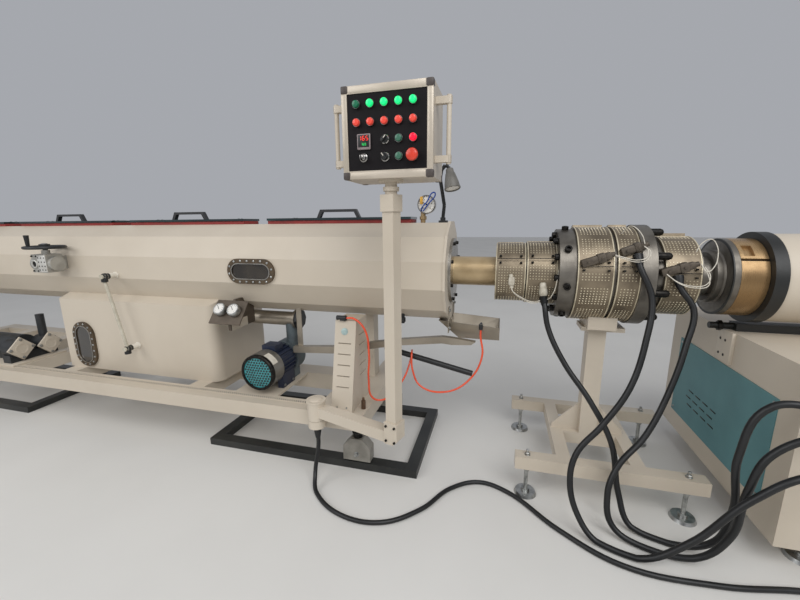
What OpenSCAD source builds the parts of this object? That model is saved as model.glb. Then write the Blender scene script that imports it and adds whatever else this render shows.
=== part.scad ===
// Plastic pipe extruder line: screw extruder, heated die head and sizing tank.
// +X runs from the tank to the extruder, +Y away from the operator, +Z up.
// The origin lies on the floor at the inlet end of the die head, in the middle of the width.

/* [Line] */
// Height of the line's axis over the floor
line_h = 1005; // [960:5:1050]
// Free length of the brass sleeve between tank and die
tank_gap = 240; // [200:5:300]
// Distance of the line's axis from the middle of the width
axis_y = 95; // [80:5:110]

/* [Vacuum tank] */
// Length of the twelve-sided shell
tank_len = 4130; // [3900:10:4400]
// Width across the flats of the shell
tank_af = 484; // [440:2:520]
// Sheet thickness of the shell
tank_wall = 6; // [4:1:10]
// Thickness of the end plates
end_plate = 12; // [8:1:20]
// Number of lids on the top flat
lid_count = 4; // [3:1:4]
// Length of one lid
lid_len = 820; // [700:10:860]
// Width of one lid
lid_w = 146; // [136:2:160]
// Thickness of one lid
lid_t = 12; // [8:1:16]
// Distance from one lid's start to the next
lid_pitch = 970; // [900:10:1000]
// Distance from the front of the tank to the first lid
lid_start = 200; // [160:10:260]
// Height of the frame round each mouth
coaming_h = 12; // [8:1:20]
// Thickness of the red seal
seal_t = 6; // [4:1:10]

/* [Sight windows] */
// Length of the oval window ring
window_len = 280; // [240:5:320]
// Height of the oval window ring
window_h = 132; // [110:2:150]
// Width of the ring's land
window_land = 28; // [20:1:34]

/* [Water box] */
// Length of the water box under the tank
box_len = 1150; // [1000:10:1300]
// Width of the water box
box_w = 490; // [440:5:520]
// Distance from the front of the tank to the water box
box_start = 1300; // [1200:10:1400]
// Height of the water box's straight wall
box_h = 450; // [420:5:480]

/* [Tank frame] */
// Height of the upper face of the frame
frame_top = 348; // [330:2:370]
// Height of a frame beam
beam_h = 80; // [60:2:100]
// Width of a frame beam
beam_w = 100; // [80:2:120]
// Distance of a beam's centre from the axis
beam_y = 360; // [330:5:380]
// Diameter of the travelling wheels
wheel_d = 90; // [80:2:98]
// Distance of a wheel's centre from the axis
wheel_y = 297; // [280:1:310]
// Height of the floor track
track_h = 40; // [36:2:50]
// Length of each floor track
track_len = 1220; // [1000:10:1400]
// Thickness of the decks between the beams
deck_t = 12; // [8:1:16]

/* [Control panel] */
// Width of the panel box
panel_w = 316; // [300:2:350]
// Height of the panel box
panel_h = 298; // [280:1:320]
// Depth of the panel box
panel_d = 195; // [170:5:220]
// Height of the underside of the panel box
panel_z = 1398; // [1370:2:1440]
// Side of the square pole
pole_s = 48; // [40:2:54]
// Twist of the square pole about its own axis
pole_turn = -20; // [-26:1:-10]
// Reach of the swinging arm from the knuckle to the pole
arm_len = 440; // [400:5:480]
// Angle at which the arm stands out from the line
arm_turn = -17; // [-24:1:-12]
// Side of the arm's square tube
arm_s = 50; // [44:2:56]
// Radius of the knuckle
knuckle_r = 42; // [36:1:46]
// Pitch of the push buttons
button_pitch = 49; // [46:1:52]
// Diameter of a push button
button_d = 27; // [22:1:32]

/* [Die head] */
// Radius of the brass sizing sleeve
sleeve_r = 72; // [60:1:80]
// Radius of the bore through the sleeve
pipe_r = 56; // [45:1:60]
// Radius of the first heater band
band_1_r = 141; // [135:1:150]
// Radius of the second heater band
band_2_r = 147; // [140:1:155]
// Radius of the bolted die flange
flange_r = 207; // [195:1:215]
// Radius of the two large heater bands
band_3_r = 215; // [208:1:225]
// Radius of the last heater band
band_5_r = 173; // [160:1:185]
// Thickness of a heater band
band_t = 12; // [8:1:16]
// Radius of the adaptor neck
neck_r = 86; // [75:1:95]

/* [Die stand] */
// Side of the square column
post_s = 78; // [70:1:90]
// Distance of the column's centre from the die's inlet end
post_x = 460; // [440:5:480]
// Side of the stand's square beams
rail_s = 60; // [50:2:70]
// Length of the stand's long beams
rail_len = 764; // [700:2:800]
// Height of the upper face of the stand's beams
rail_top = 198; // [180:2:220]
// Diameter of a levelling pad
pad_d = 100; // [80:5:120]

/* [Extruder] */
// Distance from the die's inlet end to the end face of the base
base_x = 989; // [980:1:1000]
// Length of the base
base_len = 3411; // [3300:10:3500]
// Width of the base
base_w = 980; // [940:10:1000]
// Distance from the axis down to the upper face of the base
base_drop = 235; // [225:5:260]
// Height of the base's underside over the floor
base_z = 100; // [80:5:120]
// Radius of the round barrel cover
cover_r = 185; // [175:1:195]
// Length of the barrel cover
cover_len = 1685; // [1500:5:1700]
// Radius of the hopper's drum
hopper_r = 260; // [220:5:280]
// Height of the hopper's rim over the floor
hopper_top = 2050; // [1900:10:2200]
// Radius of the drive motor
motor_r = 190; // [170:5:200]

/* [Leads] */
// Radius of a heater lead
lead_r = 12; // [10:1:13]
// Radius of the panel's cable
cable_r = 10; // [8:1:11]
// Radius of the air hose
hose_r = 5; // [4:1:6]

/* [Hidden] */
$fn = 48;

play = 0.3;
lap = 1;
paint = "#cdc2b1";
steel = "#a8a6a0";
black = "#1b1c1e";

facet_w = tank_af * tan(15);
tank_front = -tank_gap;
shell_front = tank_front - end_plate;
shell_rear = shell_front - tank_len;
tank_rear = shell_rear - end_plate;
tank_top = line_h + tank_af / 2;
tank_side = tank_af / 2;
coaming_w = facet_w - 6;
coaming_t = 12;
mouth_w = coaming_w - 2 * coaming_t;
mouth_len = lid_len - 40;
seal_z = tank_top + coaming_h;
lid_z = seal_z + seal_t + play;
hinge_y = lid_w / 2 + 13;
hinge_z = lid_z + lid_t / 2;
hinge_r = 5;
eye_r = 8;
knuckle_len = 50;

box_front = tank_front - box_start;
frame_front = tank_front - 360;
frame_rear = tank_rear + 20;
deck_len = 260;
beam_bottom = frame_top - beam_h;
shoulder_y = facet_w / 2 + facet_w * cos(30);
shoulder_z = line_h - tank_side + facet_w / 2;

knuckle_x = frame_front - 212;
knuckle_y = -beam_y - beam_w / 2 - knuckle_r - 4;
seat_z = frame_top - 48;
seat_h = 38;
arm_z = seat_z + 60;
elbow_h = 95;
pole_x = knuckle_x + arm_len * cos(arm_turn);
pole_y = knuckle_y + arm_len * sin(arm_turn);
panel_x = pole_x + 6;
panel_front = pole_y - 68;

rail_y = 290;
rail_x = 106;
rail_bottom = rail_top - rail_s;
flange_x = 250;
flange_t = 65;
die_len = 800;
ring_end = 615;

base_top = line_h - base_drop;
base_rear = base_x + base_len;
cover_x = 1065;
cover_rear = cover_x + cover_len;
throat_len = 230;
throat_x = cover_rear + throat_len / 2;
gearbox_x = cover_rear + throat_len;
gearbox_len = 540;
coupling_len = 140;
motor_x = gearbox_x + gearbox_len + coupling_len;

// Helpers

// A round bar along X between two places
module bar_x(x0, x1, r, y = 0, z = line_h) {
    translate([x0, y, z]) rotate([0, 90, 0]) cylinder(r = r, h = x1 - x0);
}

// A round bar along Y between two places
module bar_y(y0, y1, r, x, z) {
    translate([x, y0, z]) rotate([-90, 0, 0]) cylinder(r = r, h = y1 - y0);
}

// A ring along X
module ring_x(x0, x1, r_out, r_in, y = 0, z = line_h) {
    difference() {
        bar_x(x0, x1, r_out, y, z);
        bar_x(x0 - lap, x1 + lap, r_in, y, z);
    }
}

// A box from its two corners
module block(a, b) {
    translate(a) cube([b[0] - a[0], b[1] - a[1], b[2] - a[2]]);
}

// A twelve-sided bar along X with level and upright flats
module flat_bar(x0, x1, af) {
    translate([x0, 0, line_h]) rotate([0, 90, 0]) rotate([0, 0, 15])
        cylinder(d = af / cos(15), h = x1 - x0, $fn = 12);
}

// A slot's outline, long along the first axis
module stadium(len, w) {
    for (side = [-1, 1]) translate([side * (len - w) / 2, 0]) circle(d = w);
    square([len - w, w], center = true);
}

// Vacuum tank

function lid_x0(i) = tank_front - lid_start - i * lid_pitch - lid_len;
function lid_mid(i) = lid_x0(i) + lid_len / 2;

window_x = [tank_front - 1020, tank_front - 3660];
window_z = line_h;

module window_cut() {
    for (x = window_x) translate([x, -tank_side + 40, window_z]) rotate([90, 0, 0])
        linear_extrude(80) stadium(window_len - 2 * window_land, window_h - 2 * window_land);
}

module tank_shell() {
    color(paint) difference() {
        union() {
            flat_bar(shell_rear, shell_front, tank_af);
            for (i = [0 : lid_count - 1])
                block([lid_mid(i) - mouth_len / 2 - coaming_t, -coaming_w / 2, tank_top - lap],
                      [lid_mid(i) + mouth_len / 2 + coaming_t, coaming_w / 2, seal_z]);
        }
        flat_bar(shell_rear - lap, shell_front + lap, tank_af - 2 * tank_wall);
        for (i = [0 : lid_count - 1])
            block([lid_mid(i) - mouth_len / 2, -mouth_w / 2, tank_top - 2 * tank_wall],
                  [lid_mid(i) + mouth_len / 2, mouth_w / 2, seal_z + lap]);
        window_cut();
    }
}

module end_disc(x0, hole_r) {
    difference() {
        flat_bar(x0, x0 + end_plate, tank_af + 12);
        bar_x(x0 - lap, x0 + end_plate + lap, hole_r);
    }
}

module tank_ends() {
    color(paint) {
        end_disc(shell_front, 120);
        end_disc(tank_rear, 100);
    }
}

entry_r = 165;
exit_r = 140;
collar_t = 14;
exit_bore = pipe_r + 4;

module pipe_flanges() {
    color(steel) {
        ring_x(tank_front, tank_front + collar_t, entry_r, sleeve_r);
        ring_x(tank_rear - collar_t, tank_rear, exit_r, exit_bore);
    }
}

module lid(i) {
    x0 = lid_x0(i);
    grip_len = 250;
    grip_h = 44;
    color("#2f4a4c") difference() {
        union() {
            block([x0, -lid_w / 2, lid_z], [x0 + lid_len, lid_w / 2, lid_z + lid_t]);
            for (side = [-1, 1]) {
                bar_x(lid_mid(i) + side * 300 - knuckle_len / 2, lid_mid(i) + side * 300 + knuckle_len / 2,
                      eye_r, hinge_y, hinge_z);
                block([lid_mid(i) + side * 300 - knuckle_len / 2, lid_w / 2 - lap, lid_z],
                      [lid_mid(i) + side * 300 + knuckle_len / 2, hinge_y, lid_z + lid_t]);
            }
        }
        for (side = [-1, 1])
            bar_x(lid_mid(i) + side * 300 - knuckle_len, lid_mid(i) + side * 300 + knuckle_len,
                  hinge_r + play, hinge_y, hinge_z);
    }
    color(black) translate([lid_mid(i), -10, lid_z + lid_t]) rotate([90, 0, 0])
        linear_extrude(24) difference() {
            polygon([[-grip_len / 2, 0], [-grip_len / 2 + 22, grip_h],
                     [grip_len / 2 - 22, grip_h], [grip_len / 2, 0]]);
            polygon([[-grip_len / 2 + 18, -lap], [-grip_len / 2 + 34, grip_h - 14],
                     [grip_len / 2 - 34, grip_h - 14], [grip_len / 2 - 18, -lap]]);
        }
}

module lid_1() { lid(0); }
module lid_2() { lid(1); }
module lid_3() { lid(2); }
module lid_4() { if (lid_count > 3) lid(3); }

module lid_seals() {
    color("#7d2f2c") for (i = [0 : lid_count - 1]) difference() {
        block([lid_mid(i) - mouth_len / 2 - coaming_t, -coaming_w / 2, seal_z],
              [lid_mid(i) + mouth_len / 2 + coaming_t, coaming_w / 2, seal_z + seal_t]);
        block([lid_mid(i) - mouth_len / 2, -mouth_w / 2, seal_z - lap],
              [lid_mid(i) + mouth_len / 2, mouth_w / 2, seal_z + seal_t + lap]);
    }
}

// Two eyes and a pin carry each lid knuckle
module hinge(x) {
    half = knuckle_len / 2 + 2;
    eye_t = 8;
    bar_x(x - half - eye_t, x + half + eye_t, hinge_r, hinge_y, hinge_z);
    for (side = [-1, 1]) {
        x0 = x + side * (half + eye_t / 2) - eye_t / 2;
        bar_x(x0, x0 + eye_t, eye_r, hinge_y, hinge_z);
        difference() {
            block([x0, hinge_y - eye_r, tank_top - 40], [x0 + eye_t, hinge_y + eye_r, hinge_z]);
            flat_bar(x0 - lap, x0 + eye_t + lap, tank_af);
        }
    }
}

module lid_hinges() {
    color(steel) for (i = [0 : lid_count - 1]) for (side = [-1, 1]) hinge(lid_mid(i) + side * 300);
}

// A bolted oval ring with its pane, seen from the front
module sight_window(len, h) {
    linear_extrude(14) difference() {
        stadium(len, h);
        stadium(len - 2 * window_land, h - 2 * window_land);
    }
    translate([0, 0, 2]) linear_extrude(6) stadium(len - 2 * window_land, h - 2 * window_land);
}

box_window_x = box_front - box_len + 165;
box_window_z = 510;

module sight_windows() {
    color("#6d665c") {
        for (x = window_x) translate([x, -tank_side, window_z]) rotate([90, 0, 0])
            sight_window(window_len, window_h);
        translate([box_window_x, -box_w / 2, box_window_z]) rotate([90, 0, 0]) rotate([0, 0, 90])
            sight_window(290, 170);
    }
}

// Section of the water box with its shoulders up to the shell
module box_section() {
    polygon([[-box_w / 2, frame_top], [box_w / 2, frame_top], [box_w / 2, frame_top + box_h],
             [shoulder_y, shoulder_z], [shoulder_y, line_h], [-shoulder_y, line_h],
             [-shoulder_y, shoulder_z], [-box_w / 2, frame_top + box_h]]);
}

module water_box() {
    corner = 60;
    color(paint) difference() {
        translate([box_front - box_len, 0, 0]) rotate([90, 0, 90]) linear_extrude(box_len) box_section();
        flat_bar(box_front - box_len - lap, box_front + lap, tank_af);
        for (side = [-1, 1]) difference() {
            block([box_front - corner, side * box_w / 2 - corner, frame_top - lap],
                  [box_front + lap, side * box_w / 2 + corner, line_h]);
            translate([box_front - corner, side * (box_w / 2 - corner), frame_top - 2 * lap])
                cylinder(r = corner, h = line_h);
            block([box_front - corner - lap, -box_w / 2 + corner, frame_top - 2 * lap],
                  [box_front + 2 * lap, box_w / 2 - corner, line_h + lap]);
        }
    }
}

level_top = [tank_front - 1950, line_h - 45];
level_low = [tank_front - 1860, frame_top + 187];

module level_stub(x, wall, z) {
    color(black) {
        bar_y(-wall - 60, -wall, 14, x, z);
        bar_y(-wall - 78, -wall - 60, 18, x, z);
        translate([x, -wall - 72, z - 30]) cylinder(r = 16, h = 30);
    }
    color("#e4dccd") bar_y(-wall - 92, -wall - 78, 13, x, z);
}

module level_gauge() {
    level_stub(level_top[0], tank_side, level_top[1]);
    level_stub(level_low[0], box_w / 2, level_low[1]);
    color("#b9b5a5") hull() {
        translate([level_top[0], -tank_side - 72, level_top[1] - 30]) cylinder(r = 9, h = 1);
        translate([level_low[0], -box_w / 2 - 72, level_low[1] + 16]) cylinder(r = 9, h = 1);
    }
}

crank_x = tank_front - 2360;
crank_y = -tank_side - 80;
crank_z = line_h + 25;
crank_wheel_z = line_h + 120;
crank_shaft = 40;
crank_shaft_r = 12;

module crank_gearbox() {
    color(steel) {
        difference() {
            block([crank_x - 55, crank_y - 45, crank_z - 50], [crank_x + 60, crank_y + 45, crank_z + 55]);
            bar_x(crank_x - 55 - lap, crank_x - 35, 32, crank_y, crank_z);
        }
        ring_x(crank_x - 70, crank_x - 55, 48, 32, crank_y, crank_z);
        bar_x(crank_x + 60, crank_x + 85, 42, crank_y, crank_z);
        difference() {
            translate([crank_x, crank_y, crank_z + 55]) cylinder(r = 20, h = 22);
            translate([crank_x, crank_y, crank_wheel_z - crank_shaft])
                cylinder(r = crank_shaft_r + play, h = 80);
        }
        difference() {
            block([crank_x - 40, crank_y + 45, crank_z - 40], [crank_x + 40, -tank_side + 30, crank_z + 40]);
            flat_bar(crank_x - 50, crank_x + 50, tank_af);
        }
    }
}

module handwheel() {
    wheel_r = 100;
    color(black) translate([crank_x, crank_y, crank_wheel_z]) {
        translate([0, 0, -crank_shaft]) cylinder(r = crank_shaft_r, h = crank_shaft + 2);
        rotate_extrude() translate([wheel_r - 9, 0]) circle(r = 9, $fn = 12);
        cylinder(r = 26, h = 18);
        for (a = [0 : 120 : 240]) rotate([0, 0, a]) translate([20, -9, -4]) cube([wheel_r - 30, 18, 8]);
        rotate([0, 0, 200]) translate([wheel_r - 9, 0, 0]) cylinder(r1 = 9, r2 = 13, h = 70);
    }
}

module valve_plate() {
    plate_x = tank_front - 1140;
    plate_z = line_h - 215;
    tilt = 50;
    color("#8d867a") translate([plate_x, -300, plate_z]) rotate([tilt, 0, 0]) {
        block([-95, -70, -3], [95, 70, 3]);
        for (side = [-1, 1]) translate([side * 42, 5, 3]) {
            cylinder(r = 26, h = 16);
            cylinder(r = 10, h = 30);
        }
    }
    color(paint) difference() {
        block([plate_x - 8, -305, plate_z - 100], [plate_x + 8, -100, plate_z + 60]);
        translate([plate_x - 20, -300, plate_z]) rotate([tilt, 0, 0]) block([-10, -200, -3], [60, 200, 200]);
        flat_bar(plate_x - 20, plate_x + 20, tank_af);
    }
}

motor_y0 = -330;
pump_x = tank_front - 976;
pump_z = frame_top + 127;
pump_deck = [pump_x - 110, pump_x + 96];
cover_cut = 8;

module pump_motor() {
    color("#35648a") {
        bar_y(motor_y0 + 100, motor_y0 + 250, 82, pump_x, pump_z);
        for (a = [0 : 15 : 345]) translate([pump_x, motor_y0 + 104, pump_z]) rotate([-90, a, 0])
            translate([78, -2, 0]) cube([16, 4, 140]);
        for (side = [-1, 1])
            block([pump_x + side * 62 - 17, motor_y0 + 110, frame_top],
                  [pump_x + side * 62 + 17, motor_y0 + 230, pump_z]);
        block([pump_x - 40, motor_y0 + 112, pump_z + 70], [pump_x + 40, motor_y0 + 190, pump_z + 115]);
    }
    color("#8f8b80") difference() {
        bar_y(motor_y0, motor_y0 + 104, 97, pump_x, pump_z);
        bar_y(motor_y0 - lap, motor_y0 + cover_cut, 86, pump_x, pump_z);
    }
}

// The pump draws from the water box through the pipe under the tank
module water_pump() {
    suction_y = -30;
    suction_z = line_h - 305;
    column_x = pump_x + 40;
    color("#5c6a70") {
        bar_y(motor_y0 + 250, motor_y0 + 340, 96, pump_x, pump_z);
        bar_y(motor_y0 + 340, motor_y0 + 390, 50, pump_x, pump_z);
        block([pump_x - 60, motor_y0 + 265, frame_top], [pump_x + 60, motor_y0 + 325, pump_z - 60]);
    }
    color("#a8a29a") {
        translate([column_x, suction_y, pump_z]) cylinder(r = 34, h = suction_z - pump_z);
        bar_x(box_front, column_x + 56, 40, suction_y, suction_z);
        bar_x(box_front, box_front + 14, 62, suction_y, suction_z);
    }
}

// Two square flanges stand on their corners at the pump's front
module vacuum_pump() {
    vx = tank_rear + 1244;
    vy = -215;
    vz = frame_top + 95;
    color(black) {
        bar_x(vx - 260, vx, 74, vy, vz);
        block([vx - 240, vy - 70, frame_top + 12], [vx - 40, vy + 70, vz - 40]);
        bar_x(vx, vx + 90, 60, vy - 75, vz + 8);
        bar_x(vx, vx + 90, 60, vy + 90, vz - 6);
        block([vx, vy - 130, frame_top + 12], [vx + 70, vy + 145, vz - 30]);
        translate([vx + 45, vy + 90, vz]) cylinder(r = 24, h = 200);
    }
    color("#d6d2c8") for (side = [[-75, 8], [90, -6]]) translate([vx + 90, vy + side[0], vz + side[1]])
        rotate([45, 0, 0]) translate([0, -55, -55]) cube([14, 110, 110]);
    color(paint) block([vx - 300, vy - 150, frame_top], [vx + 120, vy + 165, frame_top + 12]);
}

// Frame, legs and track

wheel_x = [frame_front - 70, frame_rear + 410];
track_start = [frame_front + 245 - track_len, frame_rear + 95];
track_w = 60;
inner_y = [20, 140];
front_cross = [frame_front - 50, pump_x - 114];
rear_cross = [box_front - 100, box_front - box_len + 80, tank_rear + 1334, tank_rear + 954,
              wheel_x[1], frame_rear + 50];

module cross_beam(x, near, far) {
    block([x - 50, near, beam_bottom], [x + 50, far, frame_top]);
}

// The far beam ends at the water box, and an inner beam goes on from there
module tank_frame() {
    outer = beam_y + beam_w / 2;
    inner = beam_y - beam_w / 2;
    color(paint) {
        block([frame_rear, -outer, beam_bottom], [frame_front, -inner, frame_top]);
        block([frame_rear, inner, beam_bottom], [box_front, outer, frame_top]);
        block([box_front - 100, inner_y[0], beam_bottom - 18], [frame_front, inner_y[1], frame_top]);
        for (x = rear_cross) cross_beam(x, -beam_y, beam_y);
        for (x = front_cross) cross_beam(x, -beam_y, inner_y[1]);
        cross_beam(wheel_x[0], -beam_y, wheel_y + track_w / 2);
        block([frame_front - deck_len, -beam_y, frame_top - deck_t], [frame_front, inner_y[1], frame_top]);
        block([pump_deck[0], -beam_y, frame_top - deck_t], [pump_deck[1], inner_y[1], frame_top]);
    }
}

// Each leg as [x, y] of its centre
leg_at = [[frame_front - 120, 100], [frame_rear + 25, -110], [frame_rear + 25, 110]];

module tank_legs() {
    color(paint) for (at = leg_at) difference() {
        block([at[0] - 25, at[1] - 40, frame_top], [at[0] + 25, at[1] + 40, line_h]);
        flat_bar(at[0] - 30, at[0] + 30, tank_af);
    }
}

module track_frame() {
    outer = wheel_y + track_w / 2;
    inner = wheel_y - track_w / 2;
    color(black) for (x = track_start) difference() {
        block([x, -outer, 0], [x + track_len, outer, track_h]);
        block([x + track_w, -inner, -lap], [x + track_len - track_w, inner, track_h + lap]);
    }
}

// A wheel in its block carries a screw jack under the beam
module wheel_blocks() {
    half = 73;
    flat = 31;
    chamfer = 45;
    play_z = 8;
    block_top = track_h + 129;
    wheel_z = track_h + wheel_d / 2;
    pocket = wheel_d / 2 + 4;
    for (x = wheel_x) for (side = [-1, 1]) translate([x, side * wheel_y, 0]) {
        color("#9a978f") {
            difference() {
                translate([0, 30, 0]) rotate([90, 0, 0]) linear_extrude(60)
                    polygon([[-half, track_h + play_z], [half, track_h + play_z], [half, block_top - chamfer],
                             [flat, block_top], [-flat, block_top], [-half, block_top - chamfer]]);
                block([-pocket, -16, 0], [pocket, 16, wheel_z + pocket]);
            }
            bar_y(-15, 15, wheel_d / 2, 0, wheel_z);
            bar_y(-30, 30, 12, 0, wheel_z);
        }
        color(black) {
            translate([0, 0, block_top]) cylinder(r = 24, h = beam_bottom - block_top);
            translate([0, 0, block_top + 30]) cylinder(r = 34, h = 18, $fn = 6);
        }
    }
}

cabinet_x = frame_front - 112;
cabinet_top = line_h - 220;

// Slots in the front and in the side towards the die let the air out
module vent_cabinet() {
    width = 108;
    foot_y = -395;
    head_y = -300;
    back_y = -160;
    lean = (head_y - foot_y) / (cabinet_top - frame_top);
    color("#d8cdbc") difference() {
        translate([cabinet_x - width / 2, 0, 0]) rotate([90, 0, 90]) linear_extrude(width)
            polygon([[foot_y, frame_top], [back_y, frame_top], [back_y, cabinet_top], [head_y, cabinet_top]]);
        for (k = [0 : 4]) {
            z = frame_top + 120 + 52 * k;
            translate([cabinet_x, foot_y + lean * (z - frame_top), z]) cube([66, 24, 5], center = true);
            translate([cabinet_x + width / 2, (head_y + back_y) / 2, z + 30])
                cube([16, 80, 5], center = true);
        }
    }
    color(black) {
        block([cabinet_x - 33, head_y - 12, cabinet_top], [cabinet_x - 5, head_y + 8, cabinet_top + 12]);
        bar_x(cabinet_x - 38, cabinet_x + 4, 11, head_y - 4, cabinet_top + 14);
    }
}

// Control arm and panel

module arm_knuckle() {
    pin_h = 136;
    gland_h = 16;
    color(paint) {
        translate([knuckle_x, knuckle_y, seat_z]) {
            cylinder(r = knuckle_r, h = seat_h);
            cylinder(r = 15, h = pin_h);
        }
        block([knuckle_x - 35, knuckle_y + knuckle_r - 10, seat_z],
              [knuckle_x + 35, -beam_y - beam_w / 2, seat_z + seat_h - 10]);
    }
    color(black) translate([knuckle_x, knuckle_y, seat_z - gland_h]) cylinder(r = 15, h = gland_h);
}

// The arm, its elbow, the pole and the collar that carries the panel
module control_arm() {
    sleeve_z = seat_z + seat_h + 2;
    sleeve_h = 96;
    cap_h = 8;
    elbow_half = arm_s / 2 + 6;
    elbow_top = arm_z + elbow_h;
    collar_h = 60;
    neck_h = 42;
    flange_h = 8;
    color(paint) {
        translate([knuckle_x, knuckle_y, 0]) rotate([0, 0, arm_turn]) {
            difference() {
                union() {
                    translate([0, 0, sleeve_z]) cylinder(r = knuckle_r, h = sleeve_h);
                    translate([0, 0, sleeve_z + sleeve_h - cap_h]) cylinder(r = knuckle_r + 4, h = cap_h);
                    block([0, -arm_s / 2, arm_z], [arm_len, arm_s / 2, arm_z + arm_s]);
                }
                translate([0, 0, sleeve_z - lap]) cylinder(r = 15.3, h = sleeve_h + 2 * lap);
            }
            translate([arm_len, elbow_half, arm_z]) rotate([90, 0, 0]) linear_extrude(2 * elbow_half)
                polygon([[-elbow_half, 0], [elbow_half - 20, 0], [elbow_half, 20], [elbow_half, elbow_h],
                         [-elbow_half, elbow_h]]);
        }
        translate([pole_x, pole_y, 0]) rotate([0, 0, pole_turn]) {
            block([-pole_s / 2, -pole_s / 2, elbow_top],
                  [pole_s / 2, pole_s / 2, panel_z - flange_h - neck_h - collar_h]);
            translate([0, 0, panel_z - flange_h - neck_h - collar_h])
                block([-pole_s / 2 - 5, -pole_s / 2 - 5, 0], [pole_s / 2 + 5, pole_s / 2 + 5, collar_h]);
            translate([0, 0, panel_z - flange_h - neck_h]) cylinder(r = 22, h = neck_h);
            translate([0, 0, panel_z - flange_h - neck_h + 12]) cylinder(r = 29, h = 14);
            translate([0, 0, panel_z - flange_h]) cylinder(r = 44, h = flange_h);
        }
    }
}

face_t = 3;
rim = 20;

module panel_box() {
    x0 = panel_x - panel_w / 2;
    color(steel) difference() {
        block([x0, panel_front, panel_z], [x0 + panel_w, panel_front + panel_d, panel_z + panel_h]);
        block([x0 + rim, panel_front - lap, panel_z + rim + 7],
              [x0 + panel_w - rim, panel_front + 6, panel_z + panel_h - rim - 5]);
    }
}

module panel_face() {
    x0 = panel_x - panel_w / 2;
    color(black) block([x0 + rim, panel_front + 6 - face_t, panel_z + rim + 7],
                       [x0 + panel_w - rim, panel_front + 6, panel_z + panel_h - rim - 5]);
}

module panel_handles() {
    grip_r = 8;
    off = 43;
    start = 44;
    length = 216;
    color(paint) for (side = [-1, 1]) {
        x = panel_x + side * (panel_w / 2 + off);
        translate([x, panel_front + 56, panel_z + start]) cylinder(r = grip_r, h = length);
        for (z = [panel_z + start + 16, panel_z + start + length - 16])
            block([min(x, panel_x + side * panel_w / 2), panel_front + 45, z - 11],
                  [max(x, panel_x + side * panel_w / 2), panel_front + 67, z + 11]);
    }
}

button_x0 = panel_x - 2 * button_pitch - 6;
row_z = [239, 182, 125, 69];
face_y = panel_front + 6 - face_t;

module button(col, row, r, h) {
    bar_y(face_y - h, face_y, r, button_x0 + col * button_pitch, panel_z + row_z[row]);
}

module push_buttons() {
    for (col = [0 : 4]) {
        color("#2fb673") button(col, 0, button_d / 2, 18);
        color("#c5473a") button(col, 1, button_d / 2, 18);
    }
    color("#3f6b58") for (row = [2, 3]) button(3, row, button_d / 2, 18);
    color("#d01228") button(4, 2, button_d / 2, 18);
    color(black) for (row = [2, 3]) button(2, row, button_d / 2, 24);
    color(steel) {
        button(0.45, 3, 11, 16);
        block([button_x0 + 1, face_y - 6, panel_z + 96], [button_x0 + 47, face_y, panel_z + 145]);
    }
}

module emergency_stop() {
    color("#cf3a2e") {
        button(4, 3, 13, 22);
        bar_y(face_y - 33, face_y - 22, 20, button_x0 + 4 * button_pitch, panel_z + row_z[3]);
    }
}

// Fittings on the tank

module work_lamp() {
    x = tank_front - 40;
    y = -40;
    color(black) {
        translate([x - 22, y - 22, tank_top]) cube([40, 44, 10]);
        translate([x - 4, y, tank_top + 10]) cylinder(r = 9, h = 60);
        hull() {
            translate([x - 4, y, tank_top + 68]) cylinder(r = 8, h = 2);
            translate([x + 4, y - 60, tank_top + 190]) cylinder(r = 8, h = 2);
        }
    }
    color("#6f6c66") translate([x + 4, y - 60, tank_top + 190]) rotate([150, 12, 0])
        cylinder(r1 = 20, r2 = 46, h = 100);
}

module pressure_gauge() {
    x = tank_front - 152;
    color("#b79a63") translate([x, 0, tank_top]) cylinder(r = 12, h = 60);
    color(steel) {
        bar_y(-15, 15, 45, x + 20, tank_top + 90);
        bar_x(x, x + 24, 8, 0, tank_top + 50);
    }
    color("#23489a") translate([x - 6, -8, tank_top + 60]) rotate([0, 30, 0]) cube([12, 16, 80]);
}

tray_rim = 100;
tray_floor = 60;
tray_ends = [tank_front - 50, 12];
tray_top = line_h - tank_side - 2;
tray_fall = 23;
tray_depth = 98;
strap_w = 40;

// The pan's form inside a wall, with its mouth lifted
module pan(wall, lift) {
    near = [[tray_ends[0] + wall, tray_rim - wall, tray_top + lift],
            [tray_ends[1] - wall, tray_rim - wall, tray_top - tray_fall + lift],
            [tray_ends[1] - wall, tray_floor - wall, tray_top - tray_depth + wall],
            [tray_ends[0] + 100 + wall, tray_floor - wall, tray_top - tray_depth + wall]];
    hull() polyhedron([for (side = [-1, 1]) for (p = near) [p[0], side * p[1], p[2]]],
                      [[0, 1, 2, 3], [7, 6, 5, 4], [0, 4, 5, 1], [1, 5, 6, 2], [2, 6, 7, 3], [3, 7, 4, 0]]);
}

// A pan with sloping walls catches the water under the sleeve
module catch_tray() {
    color("#a79c8c") difference() {
        pan(0, 0);
        pan(3, lap);
    }
    color(paint) for (side = [-1, 1])
        block([tank_front, side * tray_rim - strap_w / 2, tray_top - 60],
              [tank_front + 4, side * tray_rim + strap_w / 2, tray_top + 70]);
    color(black) {
        translate(hose_end) cylinder(r = 8, h = 28);
        bar_y(hose_end[1], hose_end[1] + 32, 6, hose_end[0], hose_end[2] + 22);
    }
}

// The slotted strip's upper edge, measured from the tank's front and from the axis, and its height there
strip_edge = [[-875, -440], [-635, -422], [-251, -352], [-28, -322], [21, -325]];
strip_h = [36, 40, 33, 35, 36];
strip_y = -130;
strip_t = 30;

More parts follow.
